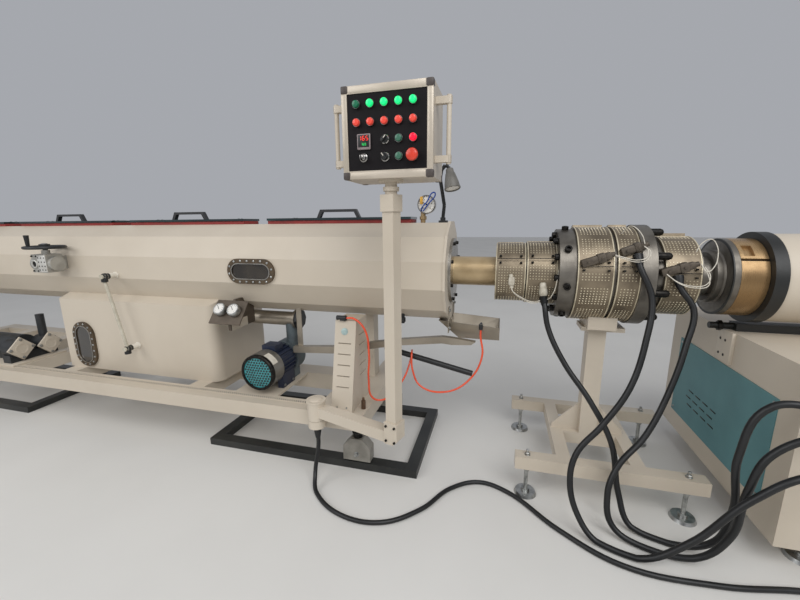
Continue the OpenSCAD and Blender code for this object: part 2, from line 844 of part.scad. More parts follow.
module drain_channel() {
    last = len(strip_edge) - 1;
    upper = [for (p = strip_edge) [tank_front + p[0], line_h + p[1]]];
    color("#b8ab98") {
        translate([0, strip_y + strip_t, 0]) rotate([90, 0, 0]) linear_extrude(strip_t)
            polygon([for (p = upper) p, for (i = [last : -1 : 0]) upper[i] - [0, strip_h[i]]]);
        for (at = [[-845, -460], [-280, -390]]) difference() {
            block([tank_front + at[0] - 15, strip_y + strip_t, line_h + at[1]],
                  [tank_front + at[0] + 15, strip_y + strip_t + 6, line_h]);
            flat_bar(tank_front + at[0] - 20, tank_front + at[0] + 20, tank_af);
        }
    }
    color(black) translate([0, strip_y + strip_t, 0]) rotate([90, 0, 0]) linear_extrude(strip_t)
        polygon([upper[last], upper[last] + [118, -13], upper[last] + [97, -30],
                 upper[last] - [0, strip_h[last]]]);
}

// A black pipe falls from the tank's drain, beside a small tap
module drain_pipe() {
    start = [tank_front - 335, -60, line_h - 430];
    fall = 12.6;
    length = 471;
    pipe = 15;
    tap_x = tank_front - 237;
    color(black) {
        translate(start) rotate([0, 90 + fall, 0]) difference() {
            cylinder(r = pipe, h = length);
            translate([0, 0, length - 60]) cylinder(r = pipe - 3, h = 60 + lap);
        }
        translate(start) sphere(r = pipe + 4);
        difference() {
            translate(start) cylinder(r = pipe, h = 240);
            flat_bar(start[0] - 20, start[0] + 20, tank_af);
        }
        difference() {
            translate([tap_x, -100, line_h - 270]) cylinder(r = 9, h = 70);
            flat_bar(tap_x - 20, tap_x + 20, tank_af);
        }
        translate([tap_x, -100, line_h - 262]) cylinder(r = 14, h = 20);
    }
}

// Die head

band_x = [[-20, 115], [120, flange_x], [flange_x + flange_t + 5, 460], [473, 560], [660, 790]];
band_r = [band_1_r, band_2_r, band_3_r, band_3_r, band_5_r];
lug_turn = [60, 60, 75, 75, 80];
neck_end = 900;

module sizing_sleeve() {
    color("#b89a6a") ring_x(shell_front - 18, band_x[0][0], sleeve_r, pipe_r);
}

module die_body() {
    inlet = band_x[0][0];
    step = band_x[1][0] - 2;
    ring_start = band_x[3][1];
    color("#77726a") translate([0, 0, line_h]) rotate([0, 90, 0]) difference() {
        rotate_extrude() polygon([
            [0, inlet], [band_1_r - band_t, inlet], [band_1_r - band_t, step], [band_2_r - band_t, step],
            [band_2_r - band_t, flange_x], [band_3_r - band_t, flange_x + flange_t],
            [band_3_r - band_t, ring_start], [band_3_r + 10, ring_start], [band_3_r + 10, ring_end],
            [band_3_r - 30, ring_end], [band_5_r - band_t, ring_end + 25], [band_5_r - band_t, die_len],
            [neck_r, die_len], [neck_r, neck_end], [0, neck_end],
        ]);
        translate([0, 0, inlet - lap]) cylinder(r = pipe_r, h = 60);
    }
}

module band(x0, x1, r, lug_a) {
    ring_x(x0, x1, r, r - band_t);
    translate([(x0 + x1) / 2, 0, line_h]) rotate([lug_a, 0, 0])
        block([-(x1 - x0) / 2 + 6, r - 4, -14], [(x1 - x0) / 2 - 6, r + 14, 14]);
}

module heater_bands() {
    color("#8f8472") for (i = [0 : len(band_x) - 1]) band(band_x[i][0], band_x[i][1], band_r[i], lug_turn[i]);
}

module die_flange() {
    color("#77726a") difference() {
        ring_x(flange_x, flange_x + flange_t, flange_r, band_2_r - band_t);
        translate([flange_x, 0, line_h]) rotate([0, 90, 0])
            cylinder(r1 = band_2_r - band_t, r2 = band_3_r - band_t, h = flange_t);
    }
}

module die_bolts() {
    color(black) {
        for (a = [0 : 30 : 330]) translate([0, 0, line_h]) rotate([a, 0, 0])
            translate([flange_x - 22, 0, 178]) rotate([0, 90, 0]) cylinder(r = 14, h = 22);
        for (a = [15 : 45 : 330]) translate([0, 0, line_h]) rotate([a, 0, 0])
            translate([ring_end, 0, 200]) rotate([0, 90, 0]) cylinder(r = 15, h = 60);
    }
}

module plug(x, a, r) {
    translate([x, 0, line_h]) rotate([a, 0, 0]) block([-16, -r - 32, -34], [16, -r, 34]);
}

module heater_plugs() {
    color("#8c8880") {
        plug(57, 16, band_1_r);
        plug(197, 33, band_2_r);
        plug(393, -23, band_3_r);
        plug(538, -35, band_3_r);
        plug(697, -17, band_5_r);
    }
}

module die_stand() {
    saddle_z = line_h - band_3_r - 10;
    color(paint) {
        for (side = [-1, 1])
            block([rail_x, side * rail_y - rail_s / 2, rail_bottom],
                  [rail_x + rail_len, side * rail_y + rail_s / 2, rail_top]);
        for (x = [317, 621])
            block([x - rail_s / 2, -rail_y + rail_s / 2, rail_bottom],
                  [x + rail_s / 2, rail_y - rail_s / 2, rail_top]);
        block([317 + rail_s / 2, -post_s / 2, rail_bottom], [621 - rail_s / 2, post_s / 2, rail_top]);
        block([post_x - post_s / 2, -post_s / 2, rail_top - lap],
              [post_x + post_s / 2, post_s / 2, saddle_z - 40]);
        for (side = [-1, 1]) translate([post_x, 5, 0]) rotate([90, 0, 0]) linear_extrude(10)
            polygon([[side * (post_s / 2 - lap), rail_top - lap], [side * (post_s / 2 + 125), rail_top - lap],
                     [side * (post_s / 2 + 125), rail_top + 20], [side * (post_s / 2 - lap), 352]]);
        block([post_x - 75, -60, saddle_z - 40], [post_x + 110, 60, saddle_z - 20]);
        difference() {
            block([post_x - 60, -110, saddle_z - 20], [post_x + 60, 110, line_h - 150]);
            bar_x(post_x - 70, post_x + 70, band_3_r);
        }
    }
}

pad_x = [rail_x + 54, rail_x + rail_len - 70];
base_pad_x = [base_x + 150, base_x + base_len / 2, base_rear - 150];

module levelling_foot(x, y, top, d) {
    translate([x, y, 0]) cylinder(r1 = d / 2, r2 = d / 2 - 6, h = 14);
    translate([x, y, 14]) cylinder(r = 18, h = 14);
    translate([x, y, 14]) cylinder(r = 9, h = top - 14);
}

module levelling_feet() {
    color(steel) {
        for (x = pad_x) for (side = [-1, 1]) levelling_foot(x, side * rail_y, rail_bottom, pad_d);
        for (x = base_pad_x) for (side = [-1, 1]) levelling_foot(x, side * (base_w / 2 - 90), base_z, pad_d);
    }
}

// Extruder

brass_end = cover_x - 45;

module barrel_clamps() {
    color("#5a5854") ring_x(neck_end, neck_end + 25, 165, 60);
    color(black) ring_x(brass_end, cover_x, cover_r + 8, 60);
}

module brass_ring() {
    color("#b89a6a") difference() {
        ring_x(neck_end + 25, brass_end, 165, 60);
        translate([(neck_end + 25 + brass_end) / 2, 0, line_h]) rotate([55, 0, 0])
            translate([0, 0, 150]) cylinder(r = 24, h = 40);
        block([neck_end + 20, -170, line_h - 1.5], [brass_end + 5, -120, line_h + 1.5]);
    }
}

module barrel_cover() {
    zone = cover_len / 4;
    color("#b9ad9a") for (k = [0 : 3]) difference() {
        bar_x(cover_x + k * zone, cover_x + (k + 1) * zone, cover_r);
        ring_x(cover_x + (k + 1) * zone - 4, cover_x + (k + 1) * zone + 1, cover_r + 5, cover_r - 5);
    }
}

module barrel_support() {
    inset = 420;
    color(paint) for (x = [cover_x + inset, cover_rear - inset]) difference() {
        block([x - 40, -130, base_top], [x + 40, 130, line_h - cover_r / 2]);
        bar_x(x - 50, x + 50, cover_r);
    }
}

// Shallow bays run along both sides, and the leads enter through glands on the operator's side
module extruder_base() {
    bay_count = 4;
    bay_start = 120;
    bay_gap = 60;
    bay_pitch = (base_len - 2 * bay_start + bay_gap) / bay_count;
    depth = 4;
    color(paint) difference() {
        block([base_x, -base_w / 2, base_z], [base_rear, base_w / 2, base_top]);
        for (side = [-1, 1]) for (k = [0 : bay_count - 1])
            block([base_x + bay_start + k * bay_pitch, side * base_w / 2 - depth, base_z + 90],
                  [base_x + bay_start + (k + 1) * bay_pitch - bay_gap, side * base_w / 2 + depth, base_top - 90]);
    }
    color(black) for (at = gland_at)
        bar_y(-base_w / 2 - gland_out, -base_w / 2 + 2 * depth, gland_r, at[0], at[1]);
}

module end_panel() {
    half = base_w / 2 - 105;
    slot_z = base_z + 275;
    color("#4d7078") difference() {
        block([base_x - 3, -half, base_z + 96], [base_x, half, base_top - 154]);
        for (row = [0 : 2]) for (col = [0 : 3])
            translate([base_x, 200 - 70 * col + 20 * (row % 2), slot_z - 38 * row])
                cube([10, 48, 6], center = true);
    }
}

module slide_rail() {
    color(black) {
        block([base_x + 20, -30, base_top], [base_x + 420, 30, base_top + 34]);
        bar_x(base_x - 70, base_x + 20, 14, 0, base_top + 17);
    }
    color(steel) difference() {
        block([base_x - 12, -75, base_top - 140], [base_x, -15, base_top]);
        for (z = [-110, -43]) for (y = [-60, -30])
            bar_x(base_x - 14, base_x + 2, 4, y, base_top + z);
    }
}

module feed_throat() {
    color("#7a766d") difference() {
        union() {
            block([cover_rear, -150, base_top], [gearbox_x, 150, line_h + 190]);
            translate([throat_x, 0, line_h + 190]) cylinder(r = 100, h = 20);
        }
        translate([throat_x, 0, line_h]) cylinder(r = 50, h = 220);
    }
}

module hopper() {
    neck_z = line_h + 210;
    cone_z = neck_z + 120;
    drum_z = cone_z + 320;
    wall = 3;
    color(steel) translate([throat_x, 0, 0]) rotate_extrude() polygon([
        [50, neck_z], [95, neck_z], [95, neck_z + 10], [60, neck_z + 10], [60, cone_z],
        [hopper_r, drum_z], [hopper_r, hopper_top - 6], [hopper_r + 8, hopper_top - 6],
        [hopper_r + 8, hopper_top], [hopper_r - wall, hopper_top], [hopper_r - wall, drum_z],
        [60 - wall, cone_z], [50, cone_z - 10],
    ]);
}

module gearbox() {
    color("#5d7f88") {
        block([gearbox_x, -200, base_top + 20], [gearbox_x + gearbox_len, 200, line_h + 200]);
        block([gearbox_x + 20, -240, base_top], [gearbox_x + gearbox_len - 20, 240, base_top + 20]);
        for (k = [0 : 4])
            block([gearbox_x + 60 + k * 100, -214, base_top + 20],
                  [gearbox_x + 72 + k * 100, 214, line_h + 170]);
        bar_x(gearbox_x + gearbox_len, motor_x, 90);
    }
}

module drive_motor() {
    motor_len = base_rear - motor_x - 60;
    color("#5d7f88") {
        bar_x(motor_x, motor_x + motor_len, motor_r);
        block([motor_x + 80, -170, base_top], [motor_x + motor_len - 80, 170, line_h - 60]);
        block([motor_x + 160, -90, line_h + 150], [motor_x + 380, 90, line_h + 270]);
    }
}

// Leads and hoses

// Where the leads go into the base, as [x, z], and how far the glands stand out
gland_at = [[1060, 622], [1150, 430], [1100, 530], [1250, 150]];
gland_out = 20;
gland_r = 18;

lead_1 = [
    [197, -149, 908], [199, -180, 888], [220, -207, 780], [290, -245, 640], [400, -300, 490],
    [484, -338, 333], [520, -378, 129], [562, -425, 25], [680, -465, 13], [795, -500, 70],
    [830, -528, 240], [815, -530, 460], [880, -530, 650], [1000, -550, 660], [1060, -542, 622],
    [1060, -510, 622],
];
lead_2 = [
    [538, -208, 1111], [541, -232, 1075], [590, -260, 945], [575, -300, 780], [525, -342, 590],
    [430, -382, 435], [335, -420, 315], [315, -450, 205], [345, -488, 90], [410, -530, 18],
    [540, -575, 16], [680, -598, 135], [830, -607, 350], [960, -608, 460], [1110, -590, 455],
    [1150, -545, 430], [1150, -510, 430],
];
lead_3 = [
    [697, -190, 1029], [702, -203, 990], [752, -228, 900], [730, -262, 760], [680, -298, 570],
    [600, -345, 390], [495, -402, 268], [460, -440, 160], [485, -472, 45], [590, -512, 13],
    [730, -545, 35], [815, -568, 170], [835, -570, 350], [880, -570, 500], [1000, -580, 585],
    [1100, -545, 530], [1100, -510, 530],
];
panel_lead = [
    [-812, -456, 284], [-812, -456, 200], [-826, -478, 60], [-790, -545, 11], [-620, -648, 11],
    [-440, -645, 11], [-290, -530, 11], [-180, -365, 11], [-50, -288, 11], [80, -325, 11],
    [280, -500, 11], [480, -615, 11], [780, -620, 11], [1080, -568, 11], [1220, -575, 90],
    [1250, -545, 150], [1250, -510, 150],
];
hose = [
    [-708, -304, 799], [-670, -304, 799], [-615, -305, 750], [-597, -300, 620], [-606, -290, 490],
    [-590, -280, 385], [-540, -250, 368], [-475, -120, 425], [-450, -38, 520], [-444, -36, 562],
    [-438, -62, 573], [-434, -88, 560], [-425, -105, 480], [-380, -120, 402], [-240, -122, 385],
    [-120, -120, 470], [-66, -117, 600], [-78, -110, 695], [-78, -110, 728],
];
hose_end = hose[len(hose) - 1];

function unit(v) = v / norm(v);
// Way of the route at each of its points
function ways(route) = let (last = len(route) - 1)
    [for (i = [0 : last]) unit(route[min(i + 1, last)] - route[max(i - 1, 0)])];
// Carries a direction along the route without twist
function carried(way, side, i = 0) = i == len(way) ? [] :
    let (next = unit(side - way[i] * (side * way[i]))) concat([next], carried(way, next, i + 1));

// An eight-sided tube along a route
module cord(route, r) {
    sides = 8;
    way = ways(route);
    side = carried(way, [0.4, 0.2, 1]);
    last = len(route) - 1;
    points = [for (i = [0 : last]) for (k = [0 : sides - 1])
        route[i] + r * (side[i] * cos(360 * k / sides) + cross(way[i], side[i]) * sin(360 * k / sides))];
    walls = [for (i = [0 : last - 1]) for (k = [0 : sides - 1])
        let (a = i * sides + k, b = i * sides + (k + 1) % sides)
        each [[a, b + sides, b], [a, a + sides, b + sides]]];
    polyhedron(points, concat(walls, [[for (k = [0 : sides - 1]) k],
                                      [for (k = [sides - 1 : -1 : 0]) last * sides + k]]));
}

module heater_lead_1() { color(black) cord(lead_1, lead_r); }
module heater_lead_2() { color(black) cord(lead_2, lead_r); }
module heater_lead_3() { color(black) cord(lead_3, lead_r); }
module panel_cable() { color(black) cord(panel_lead, cable_r); }
module air_hose() { color("#e8593c") cord(hose, hose_r); }

// The line stands beside the middle of the width
module placed() {
    translate([0, axis_y, 0]) children();
}

placed() tank_shell();
placed() tank_ends();
placed() pipe_flanges();
placed() lid_1();
placed() lid_2();
placed() lid_3();
placed() lid_4();
placed() lid_seals();
placed() lid_hinges();
placed() sight_windows();
placed() water_box();
placed() level_gauge();
placed() crank_gearbox();
placed() handwheel();
placed() valve_plate();
placed() pump_motor();
placed() water_pump();
placed() vacuum_pump();
placed() tank_frame();
placed() tank_legs();
placed() wheel_blocks();
placed() track_frame();
placed() vent_cabinet();
placed() arm_knuckle();
placed() control_arm();
placed() panel_box();
placed() panel_face();
placed() panel_handles();
placed() push_buttons();
placed() emergency_stop();
placed() work_lamp();
placed() pressure_gauge();
placed() catch_tray();
placed() drain_channel();
placed() drain_pipe();
placed() sizing_sleeve();
placed() die_body();
placed() heater_bands();
placed() die_flange();
placed() die_bolts();
placed() heater_plugs();
placed() die_stand();
placed() levelling_feet();
placed() barrel_clamps();
placed() brass_ring();
placed() barrel_cover();
placed() barrel_support();
placed() extruder_base();
placed() end_panel();
placed() slide_rail();
placed() feed_throat();
placed() hopper();
placed() gearbox();
placed() drive_motor();
placed() heater_lead_1();
placed() heater_lead_2();
placed() heater_lead_3();
placed() panel_cable();
placed() air_hose();
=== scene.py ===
# Plastic pipe extruder line: sizing tank, die head on its stand and screw extruder.
import math
import bmesh
import bpy
from mathutils import Matrix, Vector


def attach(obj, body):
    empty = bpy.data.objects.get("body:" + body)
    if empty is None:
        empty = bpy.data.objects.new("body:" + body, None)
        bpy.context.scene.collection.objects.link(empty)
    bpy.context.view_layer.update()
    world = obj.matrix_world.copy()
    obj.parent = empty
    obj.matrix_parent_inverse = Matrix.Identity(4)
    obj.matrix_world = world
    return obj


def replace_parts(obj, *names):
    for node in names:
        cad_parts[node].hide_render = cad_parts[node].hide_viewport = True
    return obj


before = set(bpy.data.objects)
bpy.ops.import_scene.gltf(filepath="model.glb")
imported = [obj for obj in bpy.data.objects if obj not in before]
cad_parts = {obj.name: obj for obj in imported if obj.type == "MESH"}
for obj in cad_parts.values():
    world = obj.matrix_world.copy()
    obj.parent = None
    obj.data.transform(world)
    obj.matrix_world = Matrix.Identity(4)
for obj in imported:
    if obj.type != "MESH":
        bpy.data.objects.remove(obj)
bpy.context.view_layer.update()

# The camera stands in front of the gap between tank and die head, at a
# grown person's chest height, and looks a little down and to the left.
camera = bpy.data.objects.new("camera", bpy.data.cameras.new("camera"))
camera.data.sensor_width = 36.0
camera.data.lens = 16.82
camera.data.clip_end = 60.0
turn = Matrix.Rotation(math.radians(15.07), 4, "Z")
pitch = Matrix.Rotation(math.radians(90.0 - 11.74), 4, "X")
roll = Matrix.Rotation(-math.radians(0.52), 4, "Z")
camera.matrix_world = Matrix.Translation((0.0, -1.833, 1.25)) @ turn @ pitch @ roll
bpy.context.scene.collection.objects.link(camera)
bpy.context.scene.camera = camera
bpy.context.scene.view_settings.view_transform = "Standard"


# Leads and hoses. The heater leads and the panel's cable are rubber-sheathed
# flexible cables that lie on the floor and rise to glands on the base; the air
# hose is a thin orange polyurethane tube.
def linear(code):
    """An sRGB hex colour in linear light."""
    parts = [int(code[i:i + 2], 16) / 255.0 for i in (0, 2, 4)]
    return (*[p / 12.92 if p <= 0.04045 else ((p + 0.055) / 1.055) ** 2.4 for p in parts], 1.0)


def add(tree, kind, inputs=None, **settings):
    """Adds a shader node with its settings, values and links."""
    node = tree.nodes.new("ShaderNode" + kind)
    for name, value in settings.items():
        setattr(node, name, value)
    for socket, value in (inputs or {}).items():
        if isinstance(value, bpy.types.NodeSocket):
            tree.links.new(value, node.inputs[socket])
        else:
            node.inputs[socket].default_value = value
    return node


def surface(name, shade, worn, rough, metallic=0.0, patch_mm=400.0, grain_mm=3.0, relief_mm=0.03,
        stretch=(1.0, 1.0, 1.0), spread=(0.42, 0.72), coat=0.0):
    """A finish of two shades in soft patches, with a fine grain in its gloss and relief."""
    material = bpy.data.materials.new(name)
    material.use_nodes = True
    tree = material.node_tree
    shader = tree.nodes["Principled BSDF"]
    place = add(tree, "TexCoord").outputs["Object"]
    run = add(tree, "Mapping", {"Vector": place, "Scale": stretch}).outputs["Vector"]
    patches = add(tree, "TexNoise", {"Vector": place, "Scale": 1000.0 / patch_mm, "Detail": 5.0})
    grain = add(tree, "TexNoise", {"Vector": run, "Scale": 1000.0 / grain_mm, "Detail": 3.0})
    share = add(tree, "MapRange", {"Value": patches.outputs["Fac"], "From Min": spread[0],
        "From Max": spread[1]})
    colour = add(tree, "Mix", {0: share.outputs["Result"], 6: linear(shade), 7: linear(worn)},
        data_type="RGBA")
    gloss = add(tree, "MapRange", {"Value": grain.outputs["Fac"], "From Min": 0.3, "From Max": 0.7,
        "To Min": rough[0], "To Max": rough[1]})
    bump = add(tree, "Bump", {"Height": grain.outputs["Fac"], "Distance": relief_mm / 1000.0})
    tree.links.new(colour.outputs[2], shader.inputs["Base Color"])
    tree.links.new(gloss.outputs["Result"], shader.inputs["Roughness"])
    tree.links.new(bump.outputs["Normal"], shader.inputs["Normal"])
    shader.inputs["Metallic"].default_value = metallic
    shader.inputs["Coat Weight"].default_value = coat
    return material


def dress(material, *names):
    """Gives CAD nodes their finish."""
    for name in names:
        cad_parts[name].data.materials.clear()
        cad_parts[name].data.materials.append(material)


# Pieces are drawn in the line's own axes: its centre line stands this far
# beside the middle of the width, and this high over the floor
AXIS_Y = 0.095
LINE_Z = 1.005
ALONG, OUT, UP = (1, 0, 0), (0, -1, 0), (0, 0, 1)
SHARP_FROM = 0.6
HANDLE_REACH = 0.36


def show(name, mesh, material, body="line"):
    """Makes a finished piece of a mesh drawn in the line's own axes."""
    bmesh.ops.recalc_face_normals(mesh, faces=mesh.faces)
    bmesh.ops.translate(mesh, verts=mesh.verts, vec=(0.0, AXIS_Y, 0.0))
    for face in mesh.faces:
        face.smooth = True
    for edge in mesh.edges:
        edge.smooth = edge.calc_face_angle(0.0) < SHARP_FROM
    data = bpy.data.meshes.new(name)
    mesh.to_mesh(data)
    mesh.free()
    data.materials.append(material)
    piece = bpy.data.objects.new(name, data)
    bpy.context.scene.collection.objects.link(piece)
    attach(piece, body)
    return piece


def aim(place, direction):
    """A seat at a place, with its Z along a direction."""
    turned_z = Vector(UP).rotation_difference(Vector(direction))
    return Matrix.Translation(place) @ turned_z.to_matrix().to_4x4()


def join(mesh, part):
    """Moves a finished part's faces into a mesh."""
    data = bpy.data.meshes.new("part")
    part.to_mesh(data)
    part.free()
    mesh.from_mesh(data)
    bpy.data.meshes.remove(data)


def turned(mesh, place, direction, profile, segments=32):
    """Adds a turned shape, whose profile gives (distance along, radius) from end to end."""
    part = bmesh.new()
    points = [part.verts.new((radius, 0.0, along)) for along, radius in profile]
    edges = [part.edges.new(pair) for pair in zip(points, points[1:])]
    bmesh.ops.spin(part, geom=points + edges, axis=UP, cent=(0, 0, 0), steps=segments, angle=math.tau,
        use_merge=True, use_duplicate=False)
    bmesh.ops.remove_doubles(part, verts=part.verts, dist=1e-6)
    bmesh.ops.transform(part, matrix=aim(place, direction), verts=part.verts)
    join(mesh, part)


def solid(mesh, place, direction, profile, segments=32):
    """Adds a turned shape that closes flat at both ends of its profile."""
    closed = ((profile[0][0], 0.0), *profile, (profile[-1][0], 0.0))
    turned(mesh, place, direction, closed, segments)


def rod(mesh, start, end, radius, segments=20, soften=0.001):
    """Adds a round bar with softened ends."""
    way = Vector(end) - Vector(start)
    solid(mesh, start, way, ((0.0, radius - soften), (soften, radius), (way.length - soften, radius),
        (way.length, radius - soften)), segments)


def wire(name, points, radius, material):
    """Makes a smooth line of round section through points in the line's own axes."""
    curve = bpy.data.curves.new(name, "CURVE")
    curve.dimensions = "3D"
    curve.bevel_depth = radius
    curve.bevel_resolution = 4
    curve.resolution_u = 8
    curve.use_fill_caps = True
    spline = curve.splines.new("BEZIER")
    spline.bezier_points.add(len(points) - 1)
    places = [Vector((x, y + AXIS_Y, z)) for x, y, z in points]
    for knot, place, before, after in zip(spline.bezier_points, places, places[:1] + places,
            places[1:] + places[-1:]):
        way = ((place - before).normalized() + (after - place).normalized()).normalized()
        knot.handle_left_type = knot.handle_right_type = "FREE"
        knot.co = place
        knot.handle_left = place - way * (place - before).length * HANDLE_REACH
        knot.handle_right = place + way * (after - place).length * HANDLE_REACH
        knot.handle_left.z = max(knot.handle_left.z, radius)
        knot.handle_right.z = max(knot.handle_right.z, radius)
    curve.materials.append(material)
    piece = bpy.data.objects.new(name, curve)
    bpy.context.scene.collection.objects.link(piece)
    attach(piece, "line")
    return piece


# Chloroprene rubber sheath: near black, dull, greyed by floor dust
sheath = surface("chloroprene cable sheath", "0d0e0f", "1b1c1d", (0.36, 0.5), patch_mm=120.0, grain_mm=1.2,
    relief_mm=0.04)
# Extruded polyurethane tube: bright orange and glossy
polyurethane = surface("polyurethane air tube", "e8552f", "d94a28", (0.22, 0.32), patch_mm=60.0,
    grain_mm=4.0, relief_mm=0.01, coat=0.4)
# Glass-fibre braid over the heater wires: off-white, matt, with a fine weave
braid = surface("glass fibre braid", "d9d3c6", "b8b0a0", (0.7, 0.85), patch_mm=18.0, grain_mm=0.8,
    relief_mm=0.15)

LEAD_R = 0.012
CABLE_R = 0.01
HOSE_R = 0.005
ROUTES = {
    "heater_lead_1": [(0.197, -0.149, 0.908), (0.199, -0.18, 0.888), (0.22, -0.207, 0.78),
        (0.29, -0.245, 0.64), (0.4, -0.3, 0.49), (0.484, -0.338, 0.333), (0.52, -0.378, 0.129),
        (0.562, -0.425, 0.025), (0.68, -0.465, 0.013), (0.795, -0.5, 0.07), (0.83, -0.528, 0.24),
        (0.815, -0.53, 0.46), (0.88, -0.53, 0.65), (1.0, -0.55, 0.66), (1.06, -0.542, 0.622),
        (1.06, -0.51, 0.622)],
    "heater_lead_2": [(0.538, -0.208, 1.111), (0.541, -0.232, 1.075), (0.59, -0.26, 0.945),
        (0.575, -0.3, 0.78), (0.525, -0.342, 0.59), (0.43, -0.382, 0.435), (0.335, -0.42, 0.315),
        (0.315, -0.45, 0.205), (0.345, -0.488, 0.09), (0.41, -0.53, 0.018), (0.54, -0.575, 0.016),
        (0.68, -0.598, 0.135), (0.83, -0.607, 0.35), (0.96, -0.608, 0.46), (1.11, -0.59, 0.455),
        (1.15, -0.545, 0.43), (1.15, -0.51, 0.43)],
    "heater_lead_3": [(0.697, -0.19, 1.029), (0.702, -0.203, 0.99), (0.752, -0.228, 0.9),
        (0.73, -0.262, 0.76), (0.68, -0.298, 0.57), (0.6, -0.345, 0.39), (0.495, -0.402, 0.268),
        (0.46, -0.44, 0.16), (0.485, -0.472, 0.045), (0.59, -0.512, 0.013), (0.73, -0.545, 0.035),
        (0.815, -0.568, 0.17), (0.835, -0.57, 0.35), (0.88, -0.57, 0.5), (1.0, -0.58, 0.585),
        (1.1, -0.545, 0.53), (1.1, -0.51, 0.53)],
    "panel_cable": [(-0.812, -0.456, 0.284), (-0.812, -0.456, 0.2), (-0.826, -0.478, 0.06),
        (-0.79, -0.545, 0.011), (-0.62, -0.648, 0.011), (-0.44, -0.645, 0.011), (-0.29, -0.53, 0.011),
        (-0.18, -0.365, 0.011), (-0.05, -0.288, 0.011), (0.08, -0.325, 0.011), (0.28, -0.5, 0.011),
        (0.48, -0.615, 0.011), (0.78, -0.62, 0.011), (1.08, -0.568, 0.011), (1.22, -0.575, 0.09),
        (1.25, -0.545, 0.15), (1.25, -0.51, 0.15)],
    "air_hose": [(-0.708, -0.304, 0.799), (-0.67, -0.304, 0.799), (-0.615, -0.305, 0.75),
        (-0.597, -0.3, 0.62), (-0.606, -0.29, 0.49), (-0.59, -0.28, 0.385), (-0.54, -0.25, 0.368),
        (-0.475, -0.12, 0.425), (-0.45, -0.038, 0.52), (-0.444, -0.036, 0.562), (-0.438, -0.062, 0.573),
        (-0.434, -0.088, 0.56), (-0.425, -0.105, 0.48), (-0.38, -0.12, 0.402), (-0.24, -0.122, 0.385),
        (-0.12, -0.12, 0.47), (-0.066, -0.117, 0.6), (-0.078, -0.11, 0.695), (-0.078, -0.11, 0.728)],
}
CORD_FACTS = {
    "heater_lead_1": (LEAD_R, 2.14, "medium", "loose"),
    "heater_lead_2": (LEAD_R, 2.29, "medium", "loose"),
    "heater_lead_3": (LEAD_R, 2.21, "medium", "loose"),
    "panel_cable": (CABLE_R, 2.79, "medium", "loose"),
    "air_hose": (HOSE_R, 1.69, "medium", "loose"),
}
for name, (radius, length, stiffness, lay) in CORD_FACTS.items():
    route = ROUTES[name]
    jacket = polyurethane if name == "air_hose" else sheath
    line = wire(name + "_jacket", route, radius, jacket)
    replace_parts(line, name)
    ends = ((0, 1, 0.007, 0.045), (-1, -2, 0.006, 0.034)) if name != "air_hose" else ()
    for end, after, thicker, reach in ends:
        foot, way = Vector(route[end]), Vector(route[after]) - Vector(route[end])
        boot = bmesh.new()
        solid(boot, foot, way, ((0.0, radius + thicker), (0.012, radius + thicker),
            (reach, radius + 0.0015)), 20)
        show(f"{name}_boot_{end % 2 + 1}", boot, sheath)
    x, y, z = route[0]

# Vacuum tank: a twelve-sided shell of sheet steel, folded and welded, with
# plain end plates. The whole is powder coated in a warm grey white.
paint = surface("powder-coated steel, warm white", "cabfae", "b9ad9b", (0.38, 0.52), patch_mm=620.0,
    grain_mm=3.5, relief_mm=0.05, spread=(0.4, 0.85))
dress(paint, "tank_shell", "tank_ends", "water_box", "tank_frame", "tank_legs", "arm_knuckle",
    "control_arm", "panel_handles", "die_stand", "barrel_support", "extruder_base", "vent_cabinet",
    "barrel_cover")
# Turned stainless plate: bright, with fine rings from the lathe
turned_steel = surface("turned stainless steel", "b3b0aa", "8d8983", (0.22, 0.36), metallic=1.0,
    patch_mm=90.0, grain_mm=1.4, relief_mm=0.03, stretch=(1.0, 0.08, 0.08))
dress(turned_steel, "pipe_flanges", "lid_hinges")
# Blackened steel screws: dark, with a gloss that varies from handling
black_oxide = surface("black oxide screws", "1d1c1b", "34312d", (0.3, 0.5), metallic=0.8, patch_mm=15.0,
    grain_mm=1.0, relief_mm=0.05)
# Zinc-plated steel: pale grey with a bluish cast and clouded spangles
zinc = surface("zinc-plated steel", "b9bab8", "8e8f8d", (0.28, 0.45), metallic=1.0, patch_mm=22.0,
    grain_mm=1.2, relief_mm=0.04)


def cap_screw(mesh, place, direction, head):
    """Adds a socket head cap screw with a head of that diameter."""
    solid(mesh, place, direction, ((0.0, 0.5 * head), (0.56 * head, 0.5 * head), (0.62 * head, 0.44 * head),
        (0.62 * head, 0.28 * head), (0.28 * head, 0.28 * head)), 18)


def hex_bolt(mesh, place, direction, across):
    """Adds a hexagon bolt head on its washer."""
    solid(mesh, place, direction, ((0.0, 0.72 * across), (0.12 * across, 0.72 * across)), 20)
    solid(mesh, place, direction, ((0.1 * across, 0.577 * across), (0.62 * across, 0.577 * across),
        (0.7 * across, 0.5 * across)), 6)


def spoke(radius, degrees, x):
    """A place on a circle round the line's axis, with 0 degrees towards the operator."""
    angle = math.radians(degrees)
    return Vector((x, -radius * math.cos(angle), LINE_Z + radius * math.sin(angle)))


ring_screws = bmesh.new()
for k in range(8):
    cap_screw(ring_screws, spoke(0.15, 22.5 + 45.0 * k, -0.226), ALONG, 0.017)
    cap_screw(ring_screws, spoke(0.126, 22.5 + 45.0 * k, -4.408), (-1, 0, 0), 0.017)
show("flange_ring_screws", ring_screws, black_oxide)

